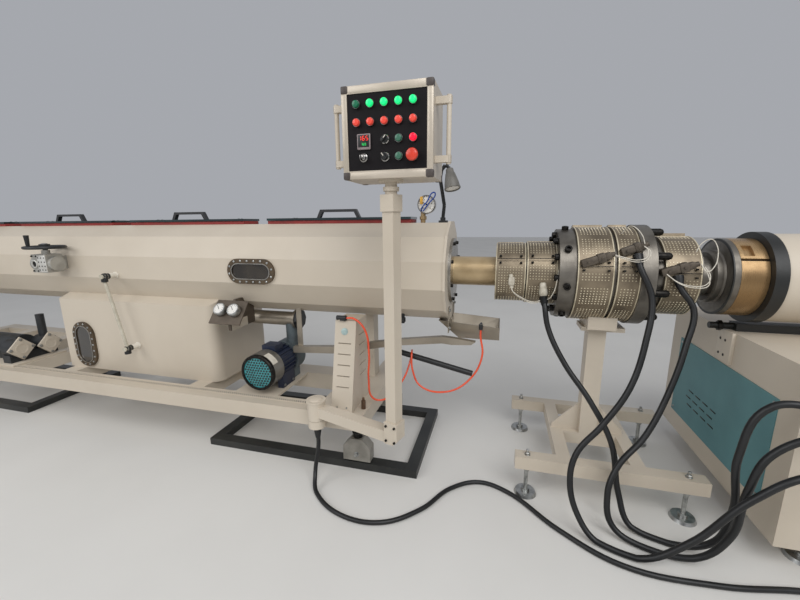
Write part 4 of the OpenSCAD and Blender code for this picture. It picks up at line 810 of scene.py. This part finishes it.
# Work lamp: a grey spun shade with a pale lens, on a gooseneck of wound steel
# sheathed in black, whose foot is screwed to the tank's top.
lamp_grey = surface("grey enamelled lamp shade", "6f6c66", "5d5a55", (0.4, 0.5), patch_mm=40.0)
neck, shade, rim, lens = bmesh.new(), bmesh.new(), bmesh.new(), bmesh.new()
block(neck, (-0.3025, -0.0625, 1.2468), (-0.2615, -0.0175, 1.2575), 0.002)
rod(neck, (-0.284, -0.04, 1.257), (-0.284, -0.04, 1.272), 0.013, 20)
BENDS = [Vector(place) for place in (
    (-0.284, -0.04, 1.27), (-0.277, -0.048, 1.33), (-0.286, -0.07, 1.4),
    (-0.292, -0.092, 1.45), (-0.284, -0.104, 1.488), (-0.266, -0.108, 1.508),
    (-0.252, -0.106, 1.5), (-0.247, -0.1, 1.486))]
for start, end in zip(BENDS, BENDS[1:]):
    rings = max(3, round((end - start).length / 0.0055))
    for k in range(rings):
        rod(neck, start.lerp(end, k / rings), start.lerp(end, (k + 0.86) / rings), 0.0088, 14)
SHADE_FOOT, SHADE_WAY = Vector((-0.248, -0.1, 1.492)), Vector((0.2, -0.24, -0.95)).normalized()
solid(shade, SHADE_FOOT, SHADE_WAY, ((0.0, 0.015), (0.003, 0.0175), (0.02, 0.0195), (0.024, 0.0225),
    (0.07, 0.0335), (0.094, 0.0365), (0.094, 0.033), (0.07, 0.03), (0.028, 0.019)), 40)
turned(rim, SHADE_FOOT + SHADE_WAY * 0.09, SHADE_WAY,
    ((0.0, 0.0355), (0.0, 0.0375), (0.006, 0.038), (0.008, 0.0365), (0.008, 0.033), (0.0, 0.033)), 40)
turned(lens, SHADE_FOOT + SHADE_WAY * 0.09, SHADE_WAY,
    ((0.0, 0.0), (0.0, 0.0326), (0.003, 0.0326), (0.004, 0.022), (0.005, 0.0)), 40)
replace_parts(show("lamp_gooseneck", neck, black_nylon), "work_lamp")
show("lamp_shade", shade, lamp_grey)
show("lamp_rim", rim, lamp_grey)
show("lamp_lens", lens, dial_white)

# Pressure gauge: chromed case with a white dial and plain numbers, on a brass
# cock with a blue lever.
dress(chrome, "pressure_gauge")
GAUGE = Vector((-0.372, -0.0152, 1.337))
LATHE_RINGS = (1.0, 0.06, 0.06)
brass = surface("turned brass", "c4ad87", "a38b66", (0.3, 0.44), metallic=0.45, patch_mm=140.0,
    grain_mm=1.2, relief_mm=0.03, stretch=LATHE_RINGS)
case, dial, marks, stem, tag = (bmesh.new() for _ in range(5))
turned(case, GAUGE, OUT, ((-0.002, 0.0405), (-0.002, 0.0465), (0.004, 0.0465), (0.006, 0.0445),
    (0.006, 0.0415), (0.002, 0.0405), (-0.002, 0.0405)), 48)
solid(dial, GAUGE, OUT, ((-0.0005, 0.0415), (0.0012, 0.0415)), 48)
for k in range(21):
    seat = Matrix.Translation(GAUGE) @ rotation(-135.0 + 13.5 * k, "Y")
    deep = 0.007 if k % 4 == 0 else 0.004
    block(marks, (-0.0005, -0.002, 0.0385 - deep), (0.0005, -0.001, 0.0385), 0.0002, seat)
pointer = Matrix.Translation(GAUGE) @ rotation(-58.0, "Y")
block(marks, (-0.0011, -0.0036, -0.008), (0.0011, -0.0022, 0.03), 0.0004, pointer)
solid(marks, GAUGE, OUT, ((0.001, 0.004), (0.0045, 0.0035)), 20)
for k in range(6):
    angle = math.radians(-135.0 + 54.0 * k)
    words = bpy.data.curves.new("number", "FONT")
    words.body = str(2 * k)
    words.size = 0.0095
    words.extrude = 0.0004
    words.align_x = "CENTER"
    words.align_y = "CENTER"
    typed = bpy.data.objects.new("number", words)
    printed = typed.to_mesh()
    part = bmesh.new()
    part.from_mesh(printed)
    typed.to_mesh_clear()
    bpy.data.objects.remove(typed)
    bpy.data.curves.remove(words)
    spot = GAUGE + Vector((0.0258 * math.sin(angle), -0.0016, 0.0258 * math.cos(angle)))
    bmesh.ops.transform(part, matrix=Matrix.Translation(spot) @ LOOK_OUT, verts=part.verts)
    join(marks, part)
rod(stem, (-0.392, 0.0, 1.2465), (-0.392, 0.0, 1.3075), 0.0126, 24)
nut(stem, (-0.392, 0.0, 1.262), 0.018, 0.018, 0.002)
block(tag, (-0.4045, -0.0255, 1.338), (-0.3895, -0.0185, 1.376), 0.003)
show("gauge_bezel", case, chrome)
show("gauge_dial", dial, dial_white)
show("gauge_marks", marks, dial_black)
show("gauge_cock", stem, brass)
blue_vinyl = surface("dipped blue vinyl", "23489a", "1d3d84", (0.3, 0.4), patch_mm=20.0, grain_mm=3.0)
yellow_vinyl = surface("dipped yellow vinyl", "d3a23c", "bf8f31", (0.35, 0.45), patch_mm=20.0, grain_mm=3.0)
wire("gauge_lever", ((-0.392, -0.006, 1.3), (-0.398, -0.022, 1.31), (-0.366, -0.028, 1.352),
    (-0.334, -0.028, 1.394), (-0.326, -0.028, 1.388), (-0.354, -0.028, 1.346), (-0.388, -0.024, 1.304)),
    0.0034, blue_vinyl)
show("gauge_tag", tag, yellow_vinyl)

# Catch tray: folded stainless sheet, held by two straps with bolts. The air
# hose ends in a black nylon barb beside it.
barb = bmesh.new()
solid(barb, (-0.078, -0.11, 0.7275), UP, ((0.0, 0.0095), (0.006, 0.01), (0.024, 0.01), (0.029, 0.008)),
    8)
rod(barb, (-0.078, -0.11, 0.75), (-0.078, -0.077, 0.75), 0.0068)
show("tray_barb", barb, black_nylon)
strap_screws = bmesh.new()
for side in (-0.1, 0.1):
    for z in (0.725, 0.815):
        hex_bolt(strap_screws, (-0.2362, side, z), ALONG, 0.012)
show("tray_strap_bolts", strap_screws, zinc)

# Die head: turned steel body inside five heater bands of pierced, dimpled
# sheet. Each band has rolled edges and a clamping lug.
dress(brass, "sizing_sleeve")
die_steel = surface("turned die steel", "77726a", "58534c", (0.3, 0.46), metallic=0.7, patch_mm=70.0,
    grain_mm=1.4, relief_mm=0.04, stretch=LATHE_RINGS)
dress(die_steel, "die_body", "die_flange")
band_steel = surface("heater band sheet, heat-tinted", "8a7d69", "655a4b", (0.3, 0.46), metallic=0.6,
    patch_mm=90.0, grain_mm=2.0, relief_mm=0.05)
dress(band_steel, "heater_bands")
dimple_steel = surface("pressed dimples, rubbed bright", "d9cdb2", "b7aa8e", (0.28, 0.4), metallic=0.35,
    patch_mm=50.0, grain_mm=2.0)
BANDS = ((-0.02, 0.115, 0.141, 30.0), (0.12, 0.25, 0.147, 30.0), (0.32, 0.46, 0.215, 15.0),
    (0.473, 0.56, 0.215, 15.0), (0.66, 0.79, 0.173, 10.0))
DIMPLE_PITCH = 0.0125
for number, (start, end, radius, lug_at) in enumerate(BANDS, 1):
    dimples, edges, lug_screws = bmesh.new(), bmesh.new(), bmesh.new()
    columns = int((end - start - 0.03) / DIMPLE_PITCH)
    rows = int(math.tau * radius / DIMPLE_PITCH)
    for row in range(rows):
        degrees = 360.0 * row / rows
        from_lug = abs((degrees - lug_at + 180.0) % 360.0 - 180.0)
        if row % 9 > 6 or math.radians(from_lug) * radius < 0.024:
            continue
        for column in range(columns + 1):
            x = (start + end) / 2.0 + (column - columns / 2.0) * DIMPLE_PITCH
            place = spoke(radius + 0.0004, degrees, x)
            outward = place - Vector((x, 0.0, LINE_Z))
            bmesh.ops.create_cone(dimples, cap_ends=True, segments=4, radius1=0.0036, radius2=0.0022,
                depth=0.0016, matrix=aim(place, outward) @ rotation(45.0, "Z"))
    show(f"band_{number}_dimples", dimples, dimple_steel)
    for x in (start, end - 0.005):
        turned(edges, (x, 0.0, LINE_Z), ALONG, ((0.0, radius - 0.002), (0.0, radius + 0.001),
            (0.0015, radius + 0.0022), (0.0035, radius + 0.0022), (0.005, radius + 0.001),
            (0.005, radius - 0.002), (0.0, radius - 0.002)), 72)
    show(f"band_{number}_edges", edges, dimple_steel)
    across = Vector((0.0, math.sin(math.radians(lug_at)), math.cos(math.radians(lug_at))))
    for x in (start + 0.022, end - 0.022):
        for side in (-1, 1):
            seat = spoke(radius + 0.0065, lug_at, x) + across * 0.0138 * side
            cap_screw(lug_screws, seat, across * side, 0.011)
    show(f"band_{number}_lug_screws", lug_screws, black_oxide)
    # A thin black strip along each lug's slit: painted shade in the gap between the lug halves.
    gap_shade = bmesh.new()
    slit = Matrix.Translation((0.0, 0.0, LINE_Z)) @ rotation(90.0 - lug_at, "X")
    block(gap_shade, (start + 0.007, -0.0016, radius + 0.013), (end - 0.007, 0.0016, radius + 0.0144), 0.0004,
        slit)
    show(f"band_{number}_lug_gap", gap_shade, black_oxide)

# Die screws: black socket head screws round the flange and blunt studs behind
# the ring.
die_screws = bmesh.new()
for k in range(12):
    cap_screw(die_screws, spoke(0.178, 30.0 * k, 0.2505), (-1, 0, 0), 0.03)
for k in range(8):
    outer = spoke(0.2045, 36.0 - 45.0 * k, 0.2825)
    cap_screw(die_screws, outer, outer - Vector((0.2825, 0.0, LINE_Z)), 0.03)
for k in range(7):
    place = spoke(0.2, 75.0 - 45.0 * k, 0.6145)
    turned(die_screws, place, ALONG, ((0.0, 0.0), (0.0, 0.0158), (0.046, 0.0158), (0.056, 0.012),
        (0.06, 0.006), (0.061, 0.0)), 24)
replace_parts(show("die_screws", die_screws, black_oxide), "die_bolts")

# Heater plugs: cast aluminium connectors with ceramic ends. White glass-fibre
# wires loop from one to the next.
plug_metal = surface("cast aluminium plug", "5f564b", "433c34", (0.45, 0.6), metallic=0.4, patch_mm=20.0,
    grain_mm=1.5, relief_mm=0.1)
ceramic = surface("glazed steatite ceramic", "c9c2b2", "aea695", (0.25, 0.4), patch_mm=20.0)
PLUG_WAYS = (
    ("plug_3", (0.393, -0.212, 1.093), (0.94, 0.0, 0.34), 0.13),
    ("plug_4", (0.53, -0.19, 1.138), (0.93, 0.02, 0.37), 0.104),
    ("plug_5", (0.703, -0.18, 1.057), (0.955, 0.0, 0.3), 0.135),
)
first_plug = None
for name, middle, way, length in PLUG_WAYS:
    plug_mesh = bmesh.new()
    seat = Matrix.Translation(middle) @ Vector((1.0, 0.0, 0.0)).rotation_difference(
        Vector(way)).to_matrix().to_4x4()
    block(plug_mesh, (-0.5 * length, -0.014, -0.016), (0.05 * length, 0.014, 0.016), 0.004, seat)
    block(plug_mesh, (-0.02 * length, -0.017, -0.019), (0.22 * length, 0.017, 0.019), 0.004, seat)
    block(plug_mesh, (0.18 * length, -0.013, -0.014), (0.4 * length, 0.013, 0.014), 0.004, seat)
    for x in (-0.3 * length, 0.11 * length):
        turned(plug_mesh, seat @ Vector((x, -0.0165, 0.0)), seat.to_3x3() @ Vector(OUT),
            ((0.0, 0.0), (0.0, 0.006), (0.003, 0.0055), (0.004, 0.0)), 14)
    rod(plug_mesh, seat @ Vector((0.38 * length, 0.0, 0.0)), seat @ Vector((0.5 * length, 0.0, 0.0)),
        0.0105)
    made = show(name, plug_mesh, plug_metal)
    first_plug = first_plug or made
small = bmesh.new()
block(small, (0.04, -0.166, 0.962), (0.068, -0.136, 1.0), 0.006)
rod(small, (0.052, -0.15, 0.998), (0.048, -0.148, 1.012), 0.009)
rod(small, (0.056, -0.151, 0.948), (0.055, -0.151, 0.966), 0.009)
show("plug_1", small, ceramic)
pear = bmesh.new()
solid(pear, (0.19, -0.15, 0.978), (0.1, 0.0, -0.99),
    ((0.0, 0.01), (0.006, 0.014), (0.02, 0.015), (0.034, 0.018), (0.052, 0.019), (0.062, 0.014),
    (0.074, 0.0125)), 28)
show("plug_2", pear, ceramic)
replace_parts(first_plug, "heater_plugs")
WIRES = {
    "wire_1": ((0.056, -0.151, 0.95), (0.066, -0.172, 0.93), (0.105, -0.182, 0.905),
        (0.15, -0.176, 0.886), (0.196, -0.16, 0.897)),
    "wire_2": ((0.054, -0.152, 0.952), (0.06, -0.17, 0.938), (0.1, -0.184, 0.912), (0.15, -0.18, 0.893),
        (0.194, -0.162, 0.902)),
    "wire_3": ((0.2, -0.16, 0.9), (0.22, -0.185, 0.915), (0.236, -0.196, 0.955), (0.244, -0.19, 1.0),
        (0.25, -0.17, 1.04)),
    "wire_4": ((0.448, -0.216, 1.112), (0.48, -0.234, 1.098), (0.53, -0.24, 1.086),
        (0.566, -0.236, 1.096), (0.576, -0.226, 1.128), (0.558, -0.216, 1.146)),
    "wire_5": ((0.446, -0.216, 1.114), (0.48, -0.236, 1.104), (0.528, -0.242, 1.094),
        (0.56, -0.238, 1.104), (0.568, -0.226, 1.132), (0.556, -0.214, 1.148)),
    "wire_6": ((0.65, -0.188, 1.04), (0.69, -0.214, 1.006), (0.74, -0.22, 0.992), (0.79, -0.212, 1.0),
        (0.802, -0.204, 1.03), (0.784, -0.192, 1.066)),
    "wire_7": ((0.652, -0.19, 1.036), (0.7, -0.222, 0.998), (0.75, -0.226, 0.986),
        (0.796, -0.214, 0.996), (0.794, -0.204, 1.034), (0.776, -0.192, 1.068)),
    "wire_8": ((0.772, -0.186, 1.078), (0.788, -0.206, 1.05), (0.812, -0.2, 1.07),
        (0.824, -0.186, 1.112), (0.818, -0.18, 1.15), (0.798, -0.176, 1.174), (0.772, -0.172, 1.16),
        (0.757, -0.166, 1.122)),
    "wire_9": ((0.56, -0.205, 1.156), (0.55, -0.196, 1.19), (0.52, -0.166, 1.226), (0.508, -0.12, 1.212),
        (0.5, -0.105, 1.194)),
}
for name, points in WIRES.items():
    wire(name, points, 0.0017, braid)

# Die stand: a square column on welded beams, with zinc-plated levelling feet.
# The extruder's base stands on feet of the same kind.
dress(zinc, "levelling_feet")
foot_nuts = bmesh.new()
STAND_FEET = [(x, y) for x in (0.16, 0.8) for y in (-0.29, 0.29)]
BASE_FEET = [(x, y) for x in (1.139, 2.6945, 4.25) for y in (-0.4, 0.4)]
for spots, z in ((STAND_FEET, 0.12), (BASE_FEET, 0.082)):
    for x, y in spots:
        nut(foot_nuts, (x, y, z), 0.0165, 0.014, 0.001)
for x, y in STAND_FEET:
    hex_bolt(foot_nuts, (x, y, 0.1975), UP, 0.018)
    rod(foot_nuts, (x, y, 0.205), (x, y, 0.224), 0.0062, 14)
show("foot_lock_nuts", foot_nuts, zinc)

# Extruder: blued half coupling, brass ring, black clamp ring and cream barrel
# cover over a long base with a teal end panel.
half_coupling = bmesh.new()
turned(half_coupling, (0.8985, 0.0, LINE_Z), ALONG,
    ((-0.034, 0.0865), (-0.034, 0.106), (-0.028, 0.113), (-0.006, 0.113), (0.0, 0.118), (0.0, 0.152),
    (0.006, 0.1655), (0.0255, 0.1655), (0.0255, 0.0865), (-0.034, 0.0865)), 72)
show("half_coupling", half_coupling, die_steel)
band_core, ring = bmesh.new(), bmesh.new()
solid(band_core, (0.924, 0.0, LINE_Z), ALONG, ((0.0, 0.148), (0.0965, 0.148)), 72)
show("ring_core", band_core, die_steel)
SLIT_AT = 28.0
section = [ring.verts.new((x, 0.0, radius)) for x, radius in (
    (0.9252, 0.1485), (0.9252, 0.164), (0.9265, 0.1652), (0.94, 0.1652), (0.975, 0.1652),
    (1.0185, 0.1652), (1.0198, 0.164), (1.0198, 0.1485))]
edge_loop = [ring.edges.new(pair) for pair in zip(section, section[1:] + section[:1])]
bmesh.ops.spin(ring, geom=section + edge_loop, cent=(0, 0, 0), axis=ALONG, dvec=(0, 0, 0),
    angle=math.radians(356.0), steps=89, use_duplicate=False)
bmesh.ops.holes_fill(ring, edges=[edge for edge in ring.edges if edge.is_boundary], sides=12)
bmesh.ops.rotate(ring, verts=ring.verts, cent=(0, 0, 0),
    matrix=Matrix.Rotation(math.radians(88.0 - SLIT_AT), 3, "X"))
window = []
for face in ring.faces:
    spot = face.calc_center_median()
    around = math.degrees(math.atan2(spot.z, -spot.y))
    if 0.94 < spot.x < 0.975 and 40.0 < around < 58.0 and math.hypot(spot.y, spot.z) > 0.164:
        window.append(face)
pushed = bmesh.ops.extrude_face_region(ring, geom=window)["geom"]
sunk = [item for item in pushed if isinstance(item, bmesh.types.BMVert)]
bmesh.ops.scale(ring, verts=sunk, vec=(1.0, 0.91, 0.91))
bmesh.ops.delete(ring, geom=window, context="FACES_ONLY")
bmesh.ops.translate(ring, verts=ring.verts, vec=(0.0, 0.0, LINE_Z))
ring_brass = surface("turned bronze band", "c6a67a", "8b6f4b", (0.24, 0.38), metallic=0.6, patch_mm=170.0,
    grain_mm=1.2, relief_mm=0.03, stretch=LATHE_RINGS, spread=(0.35, 0.65))
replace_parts(show("clamp_band", ring, ring_brass), "brass_ring")
teal = surface("teal enamel", "57868a", "4c797e", (0.4, 0.52), patch_mm=250.0, grain_mm=3.0)
dress(teal, "end_panel")
panel_screws = bmesh.new()
for y in (-0.365, 0.365):
    for z in (0.216, 0.596):
        solid(panel_screws, (0.9862, y, z), (-1, 0, 0), ((0.0, 0.007), (0.002, 0.0065), (0.0035, 0.004)),
            16)
show("end_panel_screws", panel_screws, zinc)
# Thin black blocks inside the panel's slots: painted shade in the slots.
vent_shade = bmesh.new()
for row in range(3):
    for column in range(4):
        y = 0.2 - 0.07 * column + 0.02 * (row % 2)
        z = 0.375 - 0.038 * row
        block(vent_shade, (0.9855, y - 0.0245, z - 0.0035), (0.9888, y + 0.0245, z + 0.0035), 0.0004)
show("end_panel_vent_shade", vent_shade, black_oxide)
bracket = bmesh.new()
block(bracket, (0.9762, -0.0758, 0.6292), (0.9895, 0.032, 0.7702), 0.001)
show("rail_bracket", bracket, paint)
# The four black discs on the bracket are painted shade in its holes; the threaded rod and its nut are the
# real black screw.
jack_screw_and_hole_shade = bmesh.new()
for z in (0.66, 0.727):
    for y in (-0.03, 0.008):
        rod(jack_screw_and_hole_shade, (0.9752, y, z), (0.9775, y, z), 0.0062, 16, 0.0002)
for k in range(20):
    rod(jack_screw_and_hole_shade, (0.9195 + 0.004 * k, 0.0, 0.787), (0.9222 + 0.004 * k, 0.0, 0.787), 0.0147)
nut(jack_screw_and_hole_shade, (0.95, 0.0, 0.787), 0.023, 0.018, 0.002, ALONG)
show("rail_screw_and_hole_shade", jack_screw_and_hole_shade, black_oxide)
glands = bmesh.new()
for x, z in ((1.06, 0.622), (1.15, 0.43), (1.1, 0.53), (1.25, 0.15)):
    solid(glands, (x, -0.4895, z), OUT, ((0.0, 0.0215), (0.002, 0.0225), (0.01, 0.0225), (0.012, 0.019),
        (0.0205, 0.019)), 6)
show("cable_glands", glands, black_nylon)
blue_grey = surface("blue grey enamel", "5d7f88", "4f6f78", (0.38, 0.52), patch_mm=200.0, grain_mm=3.0)
dress(blue_grey, "gearbox", "drive_motor")
cover_bolts = bmesh.new()
for k in range(6):
    for side in (-1, 1):
        hex_bolt(cover_bolts, (3.04 + 0.088 * k, side * 0.222, 0.79), UP, 0.016)
show("gearbox_foot_bolts", cover_bolts, zinc)
motor_fins = bmesh.new()
for k in range(30):
    angle = math.radians(12.0 * k)
    seat = Matrix.Translation((3.73, 0.0, LINE_Z)) @ Matrix.Rotation(angle, 4, "X")
    block(motor_fins, (0.0, -0.0022, 0.186), (0.47, 0.0022, 0.201), 0.001, seat)
turned(motor_fins, (4.215, 0.0, LINE_Z), ALONG,
    ((0.0, 0.186), (0.0, 0.196), (0.1, 0.196), (0.12, 0.18), (0.1265, 0.0)), 60)
show("drive_motor_fins", motor_fins, blue_grey)

# Plain studio: a pale floor, one broad soft lamp high on the right and a
# weaker one on the left.
floor_mesh = bmesh.new()
bmesh.ops.create_grid(floor_mesh, x_segments=1, y_segments=1, size=30.0)
floor_data = bpy.data.meshes.new("floor")
floor_mesh.to_mesh(floor_data)
floor_mesh.free()
floor = bpy.data.objects.new("floor", floor_data)
bpy.context.scene.collection.objects.link(floor)
floor_data.materials.append(surface("pale floor", "dcdad5", "d6d4cf", (0.6, 0.7), patch_mm=900.0))
for name, place, size, power in (
    ("key_light", (2.5, -4.5, 5.5), 5.0, 300.0),
    ("fill_light", (-4.5, -4.5, 4.0), 4.0, 130.0),
):
    light = bpy.data.lights.new(name, "AREA")
    light.size = size
    light.energy = power
    lamp = bpy.data.objects.new(name, light)
    lamp.location = place
    lamp.rotation_euler = (Vector((0, 0, 0.8)) - Vector(place)).to_track_quat("-Z", "Y").to_euler()
    bpy.context.scene.collection.objects.link(lamp)
world = bpy.data.worlds.new("world")
bpy.context.scene.world = world
world.use_nodes = True
world.node_tree.nodes["Background"].inputs["Color"].default_value = (0.9, 0.93, 1.0, 1.0)
world.node_tree.nodes["Background"].inputs["Strength"].default_value = 0.42
